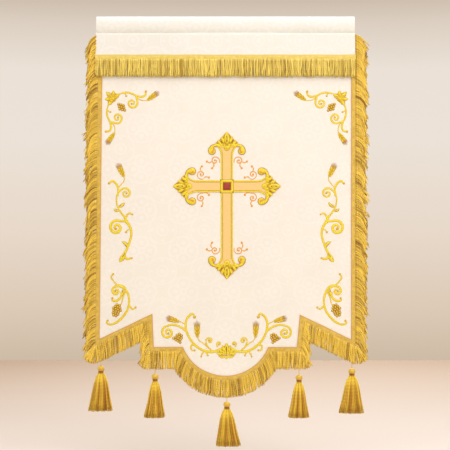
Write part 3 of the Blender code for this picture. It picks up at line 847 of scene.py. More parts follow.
def loop_arrays(paths, tints_and_painted_light, radius, sides):
    """Closed rings of thread round upright axes."""
    count, rings, _ = paths.shape
    paths = paths[:, :-1]
    rings -= 1
    centre = paths.mean(axis=1, keepdims=True)
    out = paths - centre
    out /= np.linalg.norm(out, axis=2, keepdims=True)
    angles = 2 * math.pi * np.arange(sides) / sides
    up = np.array([0.0, 0.0, 1.0])
    verts = (paths[:, :, None, :] + out[:, :, None, :] * (np.cos(angles) * radius)[None, None, :, None]
             + up * (np.sin(angles) * radius)[None, None, :, None]).reshape(-1, 3)
    faces = []
    uvs = []
    for index in range(count):
        base = index * rings * sides
        for ring in range(rings):
            for k in range(sides):
                after, beside = (ring + 1) % rings, (k + 1) % sides
                faces.append([base + ring * sides + k, base + after * sides + k,
                              base + after * sides + beside, base + ring * sides + beside])
                uvs += [(k / sides, ring * MM), (k / sides, (ring + 1) * MM),
                        ((k + 1) / sides, (ring + 1) * MM), ((k + 1) / sides, ring * MM)]
    return verts, faces, uvs, np.repeat(tints_and_painted_light, rings * sides)


# Embroidery

class Needlework:
    """Satin stitch gathered into one piece: ribbons, petals and dots, each a closed low relief."""

    def __init__(self, base_y):
        self.base_y = base_y
        self.verts = []
        self.faces = []
        self.uvs = []

    def ribbon(self, path, half_widths, height=0.7):
        """A raised band along a path of (x, z) points in mm, with its half width at each point."""
        path = np.asarray(path, dtype=float)
        ahead = np.gradient(path, axis=0)
        ahead /= np.maximum(1e-9, np.linalg.norm(ahead, axis=1, keepdims=True))
        side = np.stack([ahead[:, 1], -ahead[:, 0]], axis=1)
        travelled = np.concatenate([[0.0], np.cumsum(np.linalg.norm(np.diff(path, axis=0), axis=1))])
        profile = ((-1.0, 0.0), (-0.72, 0.70), (0.0, 1.0), (0.72, 0.70), (1.0, 0.0), (0.0, -0.15))
        start = len(self.verts)
        for point, sideways, half in zip(path, side, half_widths):
            lift = height * min(1.0, half / 1.2)
            for across, up in profile:
                x, z = point + sideways * half * across
                self.verts.append((x * MM, self.base_y - up * lift * MM, z * MM))
        ring = len(profile)
        for index in range(len(path) - 1):
            for k in range(ring):
                beside = (k + 1) % ring
                a, b = start + index * ring, start + (index + 1) * ring
                self.faces.append((a + k, a + beside, b + beside, b + k))
                along, onward = travelled[index] * MM, travelled[index + 1] * MM
                near = profile[k][0] * half_widths[index] * MM
                far = profile[beside][0] * half_widths[index] * MM
                self.uvs += [(along, near), (along, far), (onward, far), (onward, near)]
        last = start + (len(path) - 1) * ring
        self.faces.append(tuple(start + k for k in reversed(range(ring))))
        self.faces.append(tuple(last + k for k in range(ring)))
        self.uvs += [(0.0, 0.0)] * (2 * ring)

    def petal(self, root, tip, half_width, height=0.9, bend=0.0, steps=10, fullest=0.5):
        """A lens from root to tip, bent sideways by a share of its length."""
        root, tip = np.array(root, dtype=float), np.array(tip, dtype=float)
        line = tip - root
        side = np.array([line[1], -line[0]])
        shares = np.linspace(0, 1, steps + 1)
        path = [root + line * t + side * bend * math.sin(math.pi * t) for t in shares]
        power = math.log(0.5) / math.log(fullest)
        widths = [0.12 + half_width * math.sin(math.pi * t ** power) ** 0.8 for t in shares]
        self.ribbon(path, widths, height)

    def dot(self, centre, radius, height=1.0, sides=14):
        """A round padded dot."""
        start = len(self.verts)
        rings = ((1.0, 0.0), (0.90, 0.45), (0.62, 0.82), (0.28, 0.98))
        for share, up in rings:
            for k in range(sides):
                angle = 2 * math.pi * k / sides
                x = centre[0] + radius * share * math.cos(angle)
                z = centre[1] + radius * share * math.sin(angle)
                self.verts.append((x * MM, self.base_y - up * height * MM, z * MM))
        for ring in range(len(rings) - 1):
            for k in range(sides):
                beside = (k + 1) % sides
                low, high = start + ring * sides, start + (ring + 1) * sides
                face = (low + k, low + beside, high + beside, high + k)
                self.faces.append(face)
                self.uvs += [(self.verts[v][0], self.verts[v][2]) for v in face]
        top = tuple(start + (len(rings) - 1) * sides + k for k in range(sides))
        bottom = tuple(start + k for k in reversed(range(sides)))
        for face in (top, bottom):
            self.faces.append(face)
            self.uvs += [(self.verts[v][0], self.verts[v][2]) for v in face]

    def finish(self, name, material):
        thing = mesh_from_arrays(name, self.verts, self.faces, material, self.uvs)
        face_outwards(thing)
        hang(thing)
        shade(thing, 60)
        return thing


def through(points, step=2.0):
    """A smooth curve through (x, z) points in mm, sampled about every step."""
    points = [np.array(point, dtype=float) for point in points]
    padded = [2 * points[0] - points[1]] + points + [2 * points[-1] - points[-2]]
    curve = []
    for a, b, c, d in zip(padded, padded[1:], padded[2:], padded[3:]):
        pieces = max(2, round(float(np.linalg.norm(c - b)) / step))
        for piece in range(pieces):
            t = piece / pieces
            curve.append(0.5 * (2 * b + (c - a) * t + (2 * a - 5 * b + 4 * c - d) * t * t
                                + (3 * b - a - 3 * c + d) * t ** 3))
    curve.append(points[-1])
    return np.array(curve)


def spiral(centre, radius, start_degrees, turns, inner=0.16, steps_per_turn=26):
    """A coil from its outer end inwards; positive turns run anticlockwise."""
    count = round(abs(turns) * steps_per_turn)
    points = []
    for step in range(count + 1):
        t = step / count
        angle = math.radians(start_degrees) + 2 * math.pi * turns * t
        reach = radius * (1 - (1 - inner) * t ** 0.85)
        points.append((centre[0] + reach * math.cos(angle), centre[1] + reach * math.sin(angle)))
    return np.array(points)


def tapered(path, start, middle, end):
    """Half widths that swell from the start to the middle and thin to the end."""
    shares = np.linspace(0, 1, len(path))
    return np.interp(shares, [0.0, 0.5, 1.0], [start, middle, end])


class Threads:
    """The golds of the embroidery, sewn side by side in one motif."""

    def __init__(self, base_y, place):
        self.place = place
        self.bright = Needlework(base_y)
        self.old = Needlework(base_y)
        self.brown = Needlework(base_y)
        self.orange = Needlework(base_y)

    def at(self, points):
        return [self.place(*point) for point in points]

    def edged(self, path, widths, height=1.0):
        """A bright ribbon with a darker line of stitches showing along both its sides."""
        widths = np.asarray(widths)
        self.old.ribbon(path, widths + 0.55, height * 0.45)
        self.bright.ribbon(path, widths, height)

    def vine(self, points, widths, knob=0.0):
        """A stem through points, as wide as the widths say at even shares of its length."""
        path = through(self.at(points))
        shares = np.linspace(0, 1, len(widths))
        self.edged(path, np.interp(np.linspace(0, 1, len(path)), shares, widths))
        if knob:
            self.old.dot(path[-1], knob, 1.3)
            # Painted highlight: a small bright dot set up and to the left on the knob.
            self.bright.dot(path[-1] + np.array([-0.5, 0.6]), knob * 0.5, 1.7, sides=8)

    def coil(self, centre, radius, start_degrees, turns, lead=(), widths=(1.6, 2.4, 2.1, 1.5), knob=3.0):
        """A coil that grows out of the lead points and ends in a knob."""
        path = spiral(centre, radius, start_degrees, turns)
        if lead:
            path = np.concatenate([through(list(lead) + [path[0]])[:-1], path])
        path = self.at(path)
        shares = np.linspace(0, 1, len(widths))
        self.edged(path, np.interp(np.linspace(0, 1, len(path)), shares, widths), 1.1)
        self.old.dot(path[-1], knob, 1.3)

    def blade(self, root, tip, half_width, bend=0.0, fullest=0.5, height=1.2):
        """A leaf blade with a darker edge and a vein."""
        root, tip = self.place(*root), self.place(*tip)
        bend = bend * self.hand()
        self.brown.petal(root, tip, half_width + 0.8, height * 0.5, bend, fullest=fullest)
        self.bright.petal(root, tip, half_width - 0.2, height, bend, fullest=fullest)
        middle = np.array(root) * 0.35 + np.array(tip) * 0.65
        self.brown.petal(root, middle, max(0.7, half_width * 0.26), height + 0.4, bend * 0.7, steps=6)

    def hand(self):
        """-1 where the motif is mirrored, else 1."""
        return 1 if self.place(1.0, 0.0)[0] > self.place(0.0, 0.0)[0] else -1

    def ear(self, root, tip, half_width=6.5):
        """A wheat ear: a full bunch of grains at the root that thins into dark awns."""
        root, tip = np.array(self.place(*root)), np.array(self.place(*tip))
        line = tip - root
        length = float(np.linalg.norm(line))
        ahead = line / length
        side = np.array([ahead[1], -ahead[0]])
        for row in range(6):
            t = 0.06 + 0.10 * row
            swell = math.sin(math.pi * (0.25 + 0.11 * row))
            for hand in (-1, 1):
                start = root + ahead * length * t + side * hand * half_width * 0.15
                end = root + ahead * length * (t + 0.27) + side * hand * half_width * swell
                thread = self.old if row % 2 else self.bright
                thread.petal(start, end, 1.9, 1.2, steps=6, fullest=0.6)
                self.brown.petal(start + side * hand * 1.0, end + side * hand * 0.8, 0.75, 1.5, steps=5)
        self.old.petal(root, root + ahead * length * 0.78, 2.0, 1.7, fullest=0.6)
        for awn in range(-4, 5):
            start = root + ahead * length * (0.50 - 0.03 * abs(awn)) + side * awn * half_width * 0.17
            end = root + ahead * length * (1.06 - 0.03 * abs(awn)) + side * awn * half_width * 0.30
            self.brown.petal(start, end, 0.6, 0.9, steps=5)

    def grapes(self, top, foot, rows, size):
        """A bunch of round grapes in staggered rows, from its top towards its foot."""
        top, foot = np.array(top, dtype=float), np.array(foot, dtype=float)
        ahead = (foot - top) / np.linalg.norm(foot - top)
        side = np.array([-ahead[1], ahead[0]])
        for row, count in enumerate(rows):
            for index in range(count):
                spot = top + ahead * row * size * 1.8 + side * (index - (count - 1) / 2) * size * 2.1
                spot = self.place(*spot)
                self.brown.dot(spot, size + 0.6, 1.0)
                self.old.dot(spot, size - 0.4, 1.9)
                # Painted highlight: a small bright dot set up and to the left of each grape's middle.
                self.bright.dot((spot[0] - size * 0.15, spot[1] + size * 0.25), size * 0.62, 2.3, sides=8)

    def leaf(self, centre, reach, turn_degrees):
        """A vine leaf: five notched lobes of satin stitch, each with a dark vein."""
        centre = np.array(centre, dtype=float)
        self.old.dot(self.place(*centre), reach * 0.36, 0.9)
        for lobe_degrees, share in ((0, 1.0), (50, 0.84), (-50, 0.84), (100, 0.88), (-100, 0.88)):
            angle = math.radians(turn_degrees + lobe_degrees)
            ahead = np.array([math.cos(angle), math.sin(angle)])
            side = np.array([ahead[1], -ahead[0]])
            tip = centre + ahead * reach * share
            for along, out in ((0.30, 0.26), (0.55, 0.22)):
                for hand in (-1, 1):
                    start = centre + ahead * reach * share * (along - 0.16)
                    end = centre + ahead * reach * share * (along + 0.14) + side * hand * reach * out
                    self.old.petal(self.place(*start), self.place(*end), reach * 0.10, 1.0, steps=6)
            self.blade(centre + ahead * reach * 0.10, tip, reach * 0.15, fullest=0.48, height=1.4)
        self.bright.dot(self.place(*centre), reach * 0.13, 2.0)

    def twig(self, root, tip, bend=0.2, knob=2.4):
        root, tip = self.place(*root), self.place(*tip)
        self.old.petal(root, tip, 2.3, 0.5, bend * self.hand(), fullest=0.6)
        self.bright.petal(root, tip, 1.7, 0.9, bend * self.hand(), fullest=0.6)
        self.old.dot(tip, knob, 1.3)

    def finish(self, name, stitches):
        made = []
        for thread in ("bright", "old", "brown", "orange"):
            work = getattr(self, thread)
            if work.faces:
                made.append(work.finish(f"{name}_{thread}", stitches[thread]))
        return made


def sew_corner_spray(threads):
    """A vine leaf in the cloth's upper corner, and the same stem, coil and ear along both edges."""
    leaf_x, leaf_z = -306.5, -221.5
    for arm in ("across", "down"):
        def local(u, v):
            return (leaf_x + u, leaf_z - v) if arm == "across" else (leaf_x + v, leaf_z - u)

        def curve(*points):
            return [local(*point) for point in points]

        turn = -1 if arm == "across" else 1
        threads.vine(curve((12, -9), (26, -15), (43, -16), (61, -9), (76, -5), (87, -9), (89, -19)),
                     (1.3, 1.7, 2.2, 1.7, 2.6, 1.8), knob=3.4)
        threads.coil(local(52, 12), 16, 40 if arm == "across" else 230, 1.45 * turn,
                     lead=[local(52, -14), local(61, -8)])
        threads.vine(curve((61, -9), (70, 1), (80, 5), (92, 5)), (1.2, 0.9, 0.8))
        threads.ear(local(90, 6), local(124, -18))
        threads.vine(curve((29, -15), (34, -12), (36, -7)), (1.0, 0.9), knob=2.8)
    threads.leaf((leaf_x, leaf_z), 27, 135)
    threads.grapes((leaf_x + 15, leaf_z - 15), (leaf_x + 30, leaf_z - 30), (1, 2, 3, 2, 1), 3.3)


def sew_side_scroll(threads):
    """A tall S of vine beside the middle of the cloth."""
    threads.vine([(-292, -462), (-283, -452), (-277, -444), (-275, -434)], (1.1, 0.9, 0.8))
    threads.ear((-275, -436), (-294, -396), 7.2)
    threads.vine([(-277, -539), (-287, -526), (-295, -510), (-297, -489), (-292, -469), (-297, -453),
                  (-308, -444), (-317, -450)], (2.2, 2.0, 1.7, 1.6, 2.2, 2.8, 2.0), knob=3.4)
    threads.coil((-272, -477), 16, 150, -1.4, lead=[(-294, -485), (-291, -474)])
    threads.coil((-297, -570), 21, 60, 1.5, lead=[(-262, -567), (-272, -554)],
                 widths=(1.8, 2.6, 3.6, 3.8, 3.0, 2.0), knob=4.0)
    threads.vine([(-287, -526), (-277, -539), (-268, -554), (-259, -572), (-257, -590), (-264, -615),
                  (-274, -638), (-284, -652)], (1.9, 2.5, 2.9, 2.6, 2.6, 3.0, 4.2))
    threads.vine([(-272, -552), (-270, -540), (-263, -531), (-254, -534)], (1.4, 2.4, 1.6), knob=2.6)
    threads.blade((-294, -514), (-275, -500), 3.2, 0.16)
    threads.blade((-289, -524), (-305, -518), 2.8, -0.16)
    threads.blade((-274, -545), (-266, -560), 3.0, 0.1)
    threads.vine([(-259, -572), (-266, -576), (-271, -582)], (1.3, 1.0), knob=3.2)
    threads.blade((-266, -628), (-284, -607), 3.6, 0.18)
    threads.blade((-272, -634), (-290, -663), 5.4, -0.06, fullest=0.6)
    threads.vine([(-277, -646), (-268, -654), (-256, -652)], (2.6, 3.0, 1.8), knob=3.0)


def sew_lower_scroll(threads):
    """A C of vine in the cloth's lower corner, round a bunch of grapes."""
    threads.vine([(-296, -724), (-304, -715), (-311, -704), (-306, -695)], (1.6, 1.4, 1.8, 1.4), knob=3.0)
    threads.vine([(-296, -724), (-279, -729), (-266, -749), (-263, -773), (-270, -797), (-288, -819), (-309, -831),
                  (-323, -828), (-321, -821)], (1.6, 2.9, 2.5, 2.2, 2.8, 2.8, 2.4, 1.8), knob=3.2)
    threads.coil((-298, -741), 13, 85, 1.25, lead=[(-278, -733), (-288, -728)],
                 widths=(2.0, 2.6, 3.2, 2.4, 1.6), knob=3.0)
    threads.vine([(-284, -744), (-285, -757), (-296, -767), (-308, -766), (-308, -760)], (1.6, 2.6, 3.0, 1.8),
                 knob=3.0)
    threads.vine([(-272, -742), (-279, -757), (-283, -773), (-289, -784)], (1.6, 1.2, 0.9))
    threads.blade((-279, -733), (-285, -757), 3.0, -0.1)
    threads.grapes((-292, -779), (-304, -814), (2, 3, 4, 3, 3, 2), 3.3)
    threads.vine([(-265, -779), (-253, -789), (-245, -785)], (1.8, 2.2, 1.4), knob=2.8)


def sew_garland(threads):
    """Half of the garland along the foot, out from the middle palmette."""
    threads.vine([(-108, -836), (-116, -828), (-127, -823)], (1.1, 0.9))
    threads.ear((-125, -824), (-163, -813), 7.0)
    threads.coil((-158, -853), 18, 115, 1.5, lead=[(-106, -852), (-124, -838), (-146, -832)],
                 widths=(2.2, 2.6, 2.2, 2.2, 2.8, 2.8, 2.2, 1.7), knob=3.4)
    threads.grapes((-124, -859), (-136, -877), (2, 3, 3, 4), 3.3)
    threads.vine([(-50, -893), (-62, -882), (-72, -876), (-78, -867)], (1.4, 1.0, 0.8))
    threads.ear((-78, -870), (-80, -822), 7.4)
    threads.vine([(-13, -896), (-31, -904), (-54, -904), (-77, -893), (-95, -875), (-107, -852), (-110, -829),
                  (-105, -813), (-92, -802), (-86, -811)], (2.8, 3.2, 3.0, 3.0, 2.8, 2.6, 2.4, 2.8, 2.0), knob=4.2)
    threads.vine([(-40, -901), (-50, -892), (-56, -879)], (1.6, 1.8, 1.6))
    threads.coil((-46, -875), 10, 190, -1.1, widths=(1.6, 2.2, 1.5), knob=3.0)
    threads.coil((-20, -884), 8, 250, -1.0, widths=(1.5, 2.0, 1.3), knob=2.6)
    threads.vine([(-84, -886), (-95, -888), (-94, -900), (-86, -901)], (1.6, 2.0, 1.3), knob=2.8)
    threads.twig((-57, -904), (-68, -918), 0.15)
    threads.twig((-60, -906), (-50, -915), -0.2)


def sew_palmette(threads):
    """The fan of petals where the two halves of the garland meet."""
    for hand in (-1, 1):
        def out(x, z):
            return hand * x, z

        threads.blade(out(4, -914), out(28, -908), 4.2)
        threads.blade(out(4, -912), out(23, -896), 4.0)
        threads.blade(out(3, -911), out(12, -886), 3.8)
        threads.vine([out(3, -917), out(12, -920), out(19, -916)], (2.0, 2.4, 1.4), knob=2.6)
    threads.blade((0, -914), (0, -880), 6.6, fullest=0.45, height=1.7)
    threads.brown.petal(threads.place(0, -908), threads.place(0, -889), 2.6, 2.2)
    threads.bright.dot(threads.place(0, -921), 4.0, 1.6)
    threads.old.dot(threads.place(0, -914), 3.2, 2.2)


# The cross

CROSS_REACHES = ((0, 148.0), (1, 146.5), (2, 251.5), (3, 146.5))
ARM_HALF = 16.3
FLARE_BACK = 64.0
SQUARE_HALF = 18.4
PLATE_Y = -1.15 * MM
PLATE_THICKNESS = 1.3 * MM
ON_PLATE = -1.75 * MM


def cross_turn(quarter, along, across):
    """A point of an arm, along from the cross's middle and across to its right, as (x, z) in mm."""
    angle = math.radians(90 - 90 * quarter)
    x = along * math.cos(angle) + across * math.sin(angle)
    z = along * math.sin(angle) - across * math.cos(angle)
    return CROSS_X + x, CROSS_Z + z


def arm_flare(reach, start_half, end_half, length=28.0):
    """The side of an arm in (along, across): straight from the middle, then flaring to its end."""
    points = [(SQUARE_HALF, start_half), (reach - FLARE_BACK, start_half)]
    for step in range(1, 9):
        t = step / 8
        points.append((reach - FLARE_BACK + length * t, start_half + (end_half - start_half) * t ** 1.9))
    return points


def sew_cross(stitches, peach, red):
    made = []
    outline = []
    for quarter, reach in CROSS_REACHES:
        half = [(SQUARE_HALF, SQUARE_HALF)] + arm_flare(reach, ARM_HALF, 31.0)
        half += [(reach - 30, 30.5), (reach - 23, 20.5), (reach - 12, 11.0)]
        end = [(along, -across) for along, across in half] + [(reach, 0.0)]
        end += [(along, across) for along, across in reversed(half[1:])]
        outline += [cross_turn(quarter, along, across) for along, across in end]
    plate = cut_cloth("cross_ground", [(x * MM, z * MM) for x, z in outline], PLATE_Y, stitches["old"])
    flat_uv(plate)
    low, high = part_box("cross")
    score(plate, 14 * MM, low, high)
    apply_modifier(plate, "SOLIDIFY", thickness=PLATE_THICKNESS, offset=0.0)
    face_outwards(plate)
    hang(plate)
    made.append(plate)

    borders = Needlework(ON_PLATE)
    outlines = Needlework(ON_PLATE)
    leaves = Needlework(ON_PLATE)
    orange = Needlework(ON_PLATE)

    def outlined(root, tip, half_width, bend=0.0, fullest=0.5):
        outlines.petal(root, tip, half_width + 0.7, 1.4, bend, fullest=fullest)
        leaves.petal(root, tip, half_width - 0.3, 2.2, bend, fullest=fullest)

    inlay_pieces = []
    for quarter, reach in CROSS_REACHES:
        for hand in (-1, 1):
            def spot(along, across):
                return cross_turn(quarter, along, hand * across)

            border = through([spot(*point) for point in arm_flare(reach, 13.9, 28.2)])
            borders.ribbon(border, np.full(len(border), 2.1), 1.2)
            line = through([spot(*point) for point in arm_flare(reach, 11.2, 24.0, 26.5)])
            outlines.ribbon(line, np.full(len(line), 0.75), 1.1)
            neck = through([spot(reach - 39, 27), spot(reach - 38, 34), spot(reach - 42, 40), spot(reach - 50, 43)])
            widths = np.interp(np.linspace(0, 1, len(neck)), [0, 0.6, 1.0], [2.6, 4.4, 7.4])
            outlines.ribbon(neck, widths + 0.7, 1.2)
            outlines.dot(spot(reach - 53, 40.5), 10.4, 1.2, sides=24)
            leaves.ribbon(neck, widths - 0.2, 1.8)
            leaves.dot(spot(reach - 53, 40.5), 9.5, 2.1, sides=24)
            comma = through([spot(reach - 44, 37), spot(reach - 49, 36), spot(reach - 55, 39)])
            orange.ribbon(comma, np.interp(np.linspace(0, 1, len(comma)), [0, 1], [1.0, 4.2]), 2.9)
            orange.dot(comma[-1], 4.4, 3.0, sides=16)
            outlined(spot(reach - 41, 19), spot(reach - 33, 32), 4.4, 0.0)
            outlined(spot(reach - 38, 15), spot(reach - 23, 25), 4.6, 0.0)
            outlined(spot(reach - 31, 8), spot(reach - 14, 15), 4.8, 0.0)
            roll = spiral(spot(reach - 27, 12), 4.6, 0, 1.2, 0.2, 16)
            outlines.ribbon(roll, np.full(len(roll), 0.8), 2.9)
        for across in (-24, -16, -8, 8, 16, 24):
            fan = [cross_turn(quarter, reach - 42.5 + abs(across) * 0.12, across * 0.75),
                   cross_turn(quarter, reach - 34, across)]
            leaves.petal(fan[0], fan[1], 3.6, 1.9, steps=6)
            outlines.petal(cross_turn(quarter, reach - 42.5 + abs(across) * 0.12, across * 0.75 + 3.0),
                           cross_turn(quarter, reach - 35, across + 4.0), 0.7, 2.2, steps=6)
        crown = through([cross_turn(quarter, reach - 43 + abs(across) * 0.16, across)
                         for across in (-26, -18, -9, 0, 9, 18, 26)])
        borders.ribbon(crown, np.full(len(crown), 1.7), 2.4)
        outlined(cross_turn(quarter, reach - 34, 0), cross_turn(quarter, reach, 0), 8.6, fullest=0.42)
        outlines.petal(cross_turn(quarter, reach - 30, 0), cross_turn(quarter, reach - 9, 0), 3.6, 2.9, fullest=0.45)
        leaves.petal(cross_turn(quarter, reach - 27, 0), cross_turn(quarter, reach - 13, 0), 2.2, 3.4)
        boss = cross_turn(quarter, reach - 45, 0)
        outlines.dot(boss, 8.3, 1.7, sides=22)
        leaves.dot(boss, 7.4, 2.6, sides=22)
        outlines.dot(boss, 3.4, 3.1, sides=14)
        leaves.dot(boss, 2.3, 3.6, sides=12)

        inlay = arm_flare(reach, 10.8, 23.0, 26.0)
        loop = inlay + [(along, -across) for along, across in reversed(inlay)]
        corners = [cross_turn(quarter, along, across) for along, across in loop]
        piece = cut_cloth(f"inlay_{quarter}", [(x * MM, z * MM) for x, z in corners], ON_PLATE - 0.15 * MM, peach)
        flat_uv(piece, upright=quarter % 2 == 1)
        apply_modifier(piece, "SOLIDIFY", thickness=0.9 * MM, offset=0.0)
        face_outwards(piece)
        hang(piece)
        inlay_pieces.append(piece)
    pick(inlay_pieces[0])
    for piece in inlay_pieces:
        piece.select_set(True)
    bpy.ops.object.join()
    made.append(named("cross_inlay", peach))

    for half, width, height, work in ((SQUARE_HALF - 4.2, 3.7, 1.9, borders), (SQUARE_HALF - 0.6, 0.7, 1.4, outlines),
                                      (SQUARE_HALF - 8.2, 0.8, 1.9, outlines)):
        for start, end in (((-1, -1), (1, -1)), ((1, -1), (1, 1)), ((1, 1), (-1, 1)), ((-1, 1), (-1, -1))):
            side = through([(CROSS_X + start[0] * half, CROSS_Z + start[1] * half),
                            (CROSS_X + end[0] * half, CROSS_Z + end[1] * half)])
            work.ribbon(side, np.full(len(side), width), height)
    made.append(borders.finish("cross_border", stitches["bright"]))
    made.append(outlines.finish("cross_outline", stitches["brown"]))
    made.append(leaves.finish("cross_leaves", stitches["bright"]))
    made.append(orange.finish("cross_drops", stitches["orange"]))

    deselect()
    bpy.ops.mesh.primitive_cube_add(size=1.0)
    square = named("cross_gem", red)
    for vert in square.data.vertices:
        vert.co = (CROSS_X * MM + vert.co.x * 18.4 * MM, ON_PLATE - 1.05 * MM + vert.co.y * 2.3 * MM,
                   CROSS_Z * MM + vert.co.z * 18.4 * MM)
    flat_uv(square)
    apply_modifier(square, "BEVEL", width=1.2 * MM, segments=4)
    hang(square)
    shade(square, 30)
    made.append(square)
    return made


def flat_uv(thing, upright=False):
    """UV in metres straight from the front."""
    mesh = thing.data
    layer = mesh.uv_layers.active or mesh.uv_layers.new(name="UVMap")
    layer.name = "UVMap"
    for loop in mesh.loops:
        place = mesh.vertices[loop.vertex_index].co
        layer.data[loop.index].uv = (place.x, place.z) if not upright else (place.z, place.x)


def sew_small_scrolls(threads):
    """The light scrolls in the cross's angles and beside its foot."""
    for hand in (-1, 1):
        for x, z, start, turns, knobs in (
                # centre from the cross's middle, where the coil starts, its turns, the two outer knobs
                (32.0, 69.0, 205, -1.4, ((22, -2), (8, -20))),
                (69.5, 32.0, 245, 1.4, ((-21, -8), (-2, 22))),
                (69.5, -31.0, 115, -1.4, ((-21, 8), (-2, -22))),
                (32.0, -172.0, 155, 1.4, ((22, 2), (8, 20)))):
            centre = np.array((CROSS_X + hand * x, CROSS_Z + z))
            path = spiral(centre, 13.5, start if hand > 0 else 180 - start, turns * hand, 0.12)
            threads.orange.ribbon(path, tapered(path, 1.1, 1.7, 1.1), 0.8)
            threads.orange.dot(path[-1], 2.8, 1.1, sides=12)
            for across, up in knobs:
                tip = centre + np.array((hand * across, up))
                near = path[min(range(len(path) // 2), key=lambda k: float(np.linalg.norm(path[k] - tip)))]
                threads.orange.petal(near, tip, 1.5, 0.8, bend=0.25 * hand, steps=8)
                threads.orange.dot(tip, 3.2, 1.2, sides=12)


# Hand and machine stitches

def stitch_row(name, path, pitch, length, width, y, material):
    """Short raised stitches in a row along a path in metres."""
    path = np.asarray(path)
    travelled = np.concatenate([[0.0], np.cumsum(np.linalg.norm(np.diff(path, axis=0), axis=1))])
    work = Needlework(y)
    for index in range(int(travelled[-1] / pitch)):
        start = index * pitch + pitch * 0.2
        ends = []
        for place in (start, start + length):
            ends.append((np.interp(place, travelled, path[:, 0]) / MM, np.interp(place, travelled, path[:, 1]) / MM))
        middle = ((ends[0][0] + ends[1][0]) / 2, (ends[0][1] + ends[1][1]) / 2)
        work.ribbon([ends[0], middle, ends[1]], [width * 0.5, width, width * 0.5], 0.35)
    return work.finish(name, material)


# Surroundings

def build_stage():
    """A pale floor whose colour is painted darker towards its far edge, as painted shade, under a backdrop of warm
    light.
    """
    deselect()
    bpy.ops.mesh.primitive_plane_add(size=9.0, location=(0.0, FLOOR_FAR - 4.5, FLOOR_Z))
    bpy.ops.object.transform_apply(location=True)
    floor_material, tree, shader = new_material("pale matt floor", 0.9)
    place = add_node(tree, "ShaderNodeTexCoord").outputs["Object"]
    back = add_node(tree, "ShaderNodeSeparateXYZ", {0: place}).outputs[1]
    share = add_node(tree, "ShaderNodeMapRange", {"Value": back, "From Min": 0.2, "From Max": FLOOR_FAR})
    # Painted shade: the floor's colour darkens from near to far.
    tone = add_node(tree, "ShaderNodeValToRGB", {"Fac": share.outputs[0]})
    tone.color_ramp.elements[0].color = colour("#f1ece4")
    tone.color_ramp.elements[1].color = colour("#d3bfa9")
    tree.links.new(tone.outputs[0], shader.inputs["Base Color"])
    floor = named("floor", floor_material)

    world = bpy.data.worlds.new("studio")
    bpy.context.scene.world = world
    world.use_nodes = True
    tree = world.node_tree
    background = tree.nodes["Background"]
    heading = add_node(tree, "ShaderNodeTexCoord").outputs["Generated"]
    height = add_node(tree, "ShaderNodeSeparateXYZ", {0: heading}).outputs[2]
    share = add_node(tree, "ShaderNodeMapRange", {"Value": height, "From Min": -0.13, "From Max": 0.22})
    ramp = add_node(tree, "ShaderNodeValToRGB", {"Fac": share.outputs[0]})
    ramp.color_ramp.elements[0].color = colour("#cbb9a4")
    ramp.color_ramp.elements[1].color = colour("#c3b09d")
    for position, tone in ((0.14, "#dcc9b5"), (0.36, "#e8d9ca"), (0.60, "#ece2d7"), (0.78, "#ebe1d6"),
                           (0.90, "#dccfc1")):
        ramp.color_ramp.elements.new(position).color = colour(tone)
    tree.links.new(ramp.outputs[0], background.inputs["Color"])
    background.inputs["Strength"].default_value = 1.0


def area_light(name, place, aim, size, power, tone):
    deselect()
    bpy.ops.object.light_add(type="AREA", location=place)
    light = bpy.context.object
    light.name = name
    light.data.size = size
    light.data.energy = power
    light.data.color = colour(tone)[:3]
    light.rotation_euler = (Vector(aim) - Vector(place)).to_track_quat("-Z", "Y").to_euler()
    return light


def build_lights():
    middle = (0.0, 0.0, -0.55)
    area_light("key", (1.9, -2.1, 1.0), middle, 1.2, 27.0, "#fbfaff")
    area_light("fill", (-2.2, -2.2, -0.2), middle, 2.0, 4.0, "#fbfaff")
    area_light("top", (0.0, -0.7, 2.0), (0.0, 0.1, -1.2), 2.4, 60.0, "#f1f3ff")
    area_light("back", (0.6, 2.8, 0.8), middle, 2.0, 30.0, "#fbfbff")


def build_camera():
    camera = bpy.data.cameras.new("photo")
    camera.lens = 85.0
    camera.sensor_width = 36.0
    view = bpy.data.objects.new("photo", camera)
    bpy.context.scene.collection.objects.link(view)
    frame_width = 450 * 2.7 * MM
    distance = frame_width * camera.lens / camera.sensor_width
    view.location = (0.0, -distance, -(225 - 16.6) * 2.7 * MM)
    view.rotation_euler = (math.radians(90), 0.0, 0.0)
    bpy.context.scene.camera = view


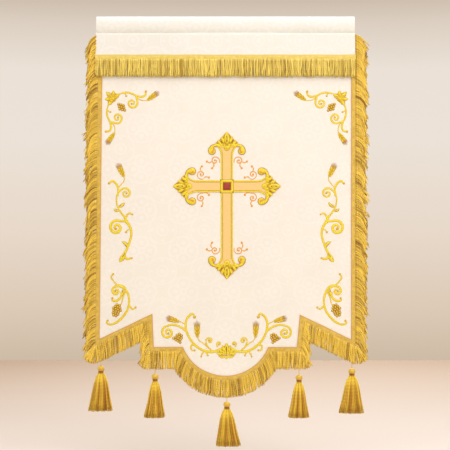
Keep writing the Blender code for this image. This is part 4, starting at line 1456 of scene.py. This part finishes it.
def main():
    bpy.context.scene.view_settings.view_transform = "Standard"
    build_camera()
    build_lights()
    build_stage()

    damask = damask_material("ivory damask", "#f3f0e4", "#f6f3e9", (0.5, 0.25))
    # The sleeve's damask is a greyer, darker copy of the cloth's: partly its own tone and partly painted shade.
    sleeve_damask_partly_painted_shade = damask_material("ivory damask, sleeve", "#edede3", "#f1f1e9", (0.2, 0.6))
    strand_yarn = yarn_material("gold rayon bullion", "#8a5708", "#ffdc55", 0.36, 6.0 * MM, 0.6, 0.03)
    top_yarn = yarn_material("light gold rayon bullion", "#b08a26", "#fae472", 0.38, 6.0 * MM, 0.5, 0.05)
    tassel_yarn = yarn_material("old gold rayon floss", "#a8600a", "#ffe04a", 0.30, 9.0 * MM, 0.2, 0.03)
    wrap_yarn = yarn_material("brown gold wrapping", "#8a4e08", "#d9a02c", 0.36, 3.0 * MM, 0.4, 0.0)
    tape_weave = tape_material("gold woven heading", "#c8a236", "#e8c858", "#d3a04c")
    top_weave = tape_material("light gold woven heading", "#d9bd4a", "#f2df7a", "#e2c863")
    stitches = {
        "bright": satin_material("bright gold satin stitch", "#d9b404", "#fff030", 0.34),
        "old": satin_material("old gold satin stitch", "#b3830a", "#e6bf22", 0.38),
        "brown": satin_material("ochre satin stitch", "#8a5a12", "#bd8420", 0.42),
        "orange": satin_material("orange gold satin stitch", "#d98c1e", "#f0b540", 0.40),
    }
    peach = satin_material("peach satin stitch", "#f0c87a", "#fad88e", 0.42, 1.6 * MM, 0.0)
    red = satin_material("red satin stitch", "#7d1f1c", "#b8402f", 0.40)
    seam_thread = satin_material("cream sewing thread", "#d9cfb4", "#efe7d2", 0.5)

    cloth = build_cloth(damask)
    sleeve = build_sleeve(sleeve_damask_partly_painted_shade)
    on_cloth = []
    for run in fringe_runs():
        at_top = run["name"] == "fringe_top"
        tape = build_tape(run, top_weave if at_top else tape_weave)
        strands = build_strands(run, top_yarn if at_top else strand_yarn)
        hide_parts(run["name"])
        on_cloth += [tape, strands]

    hangers = []
    for name, row in TASSELS.items():
        made = build_tassel(name, row, tassel_yarn, wrap_yarn)
        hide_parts(name)
        hangers += made

    motifs = (("corner", sew_corner_spray), ("side", sew_side_scroll), ("lower", sew_lower_scroll),
              ("garland", sew_garland))
    for side, hand in (("left", 1), ("right", -1)):
        for motif, sew in motifs:
            threads = Threads(CLOTH_FRONT, lambda x, z, hand=hand: (MIDDLE_X + hand * x, z))
            sew(threads)
            made = threads.finish(f"{motif}_{side}", stitches)
            on_cloth += made
    threads = Threads(CLOTH_FRONT, lambda x, z: (MIDDLE_X + x, z))
    sew_palmette(threads)
    palmette = threads.finish("palmette", stitches)
    threads = Threads(CLOTH_FRONT, lambda x, z: (x, z))
    sew_small_scrolls(threads)
    scrolls = threads.finish("cross_scrolls", stitches)
    cross = sew_cross(stitches, peach, red)
    on_cloth += palmette + scrolls + cross
    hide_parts("cross")
    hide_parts("cross_square")

    seam = stitch_row("sleeve_seam", [(SLEEVE_LEFT[0] + 2 * MM, SEAM_Z), (SLEEVE_RIGHT[0] - 2 * MM, SEAM_Z)],
                      3.2 * MM, 2.4 * MM, 0.35, SLEEVE_FRONT_Y - SLEEVE_THICKNESS / 2 + 0.25 * MM, seam_thread)

    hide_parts("panel")
    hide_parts("sleeve")
    for piece in [cloth, sleeve, seam] + on_cloth + hangers:
        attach(piece, "root")


main()
deselect()
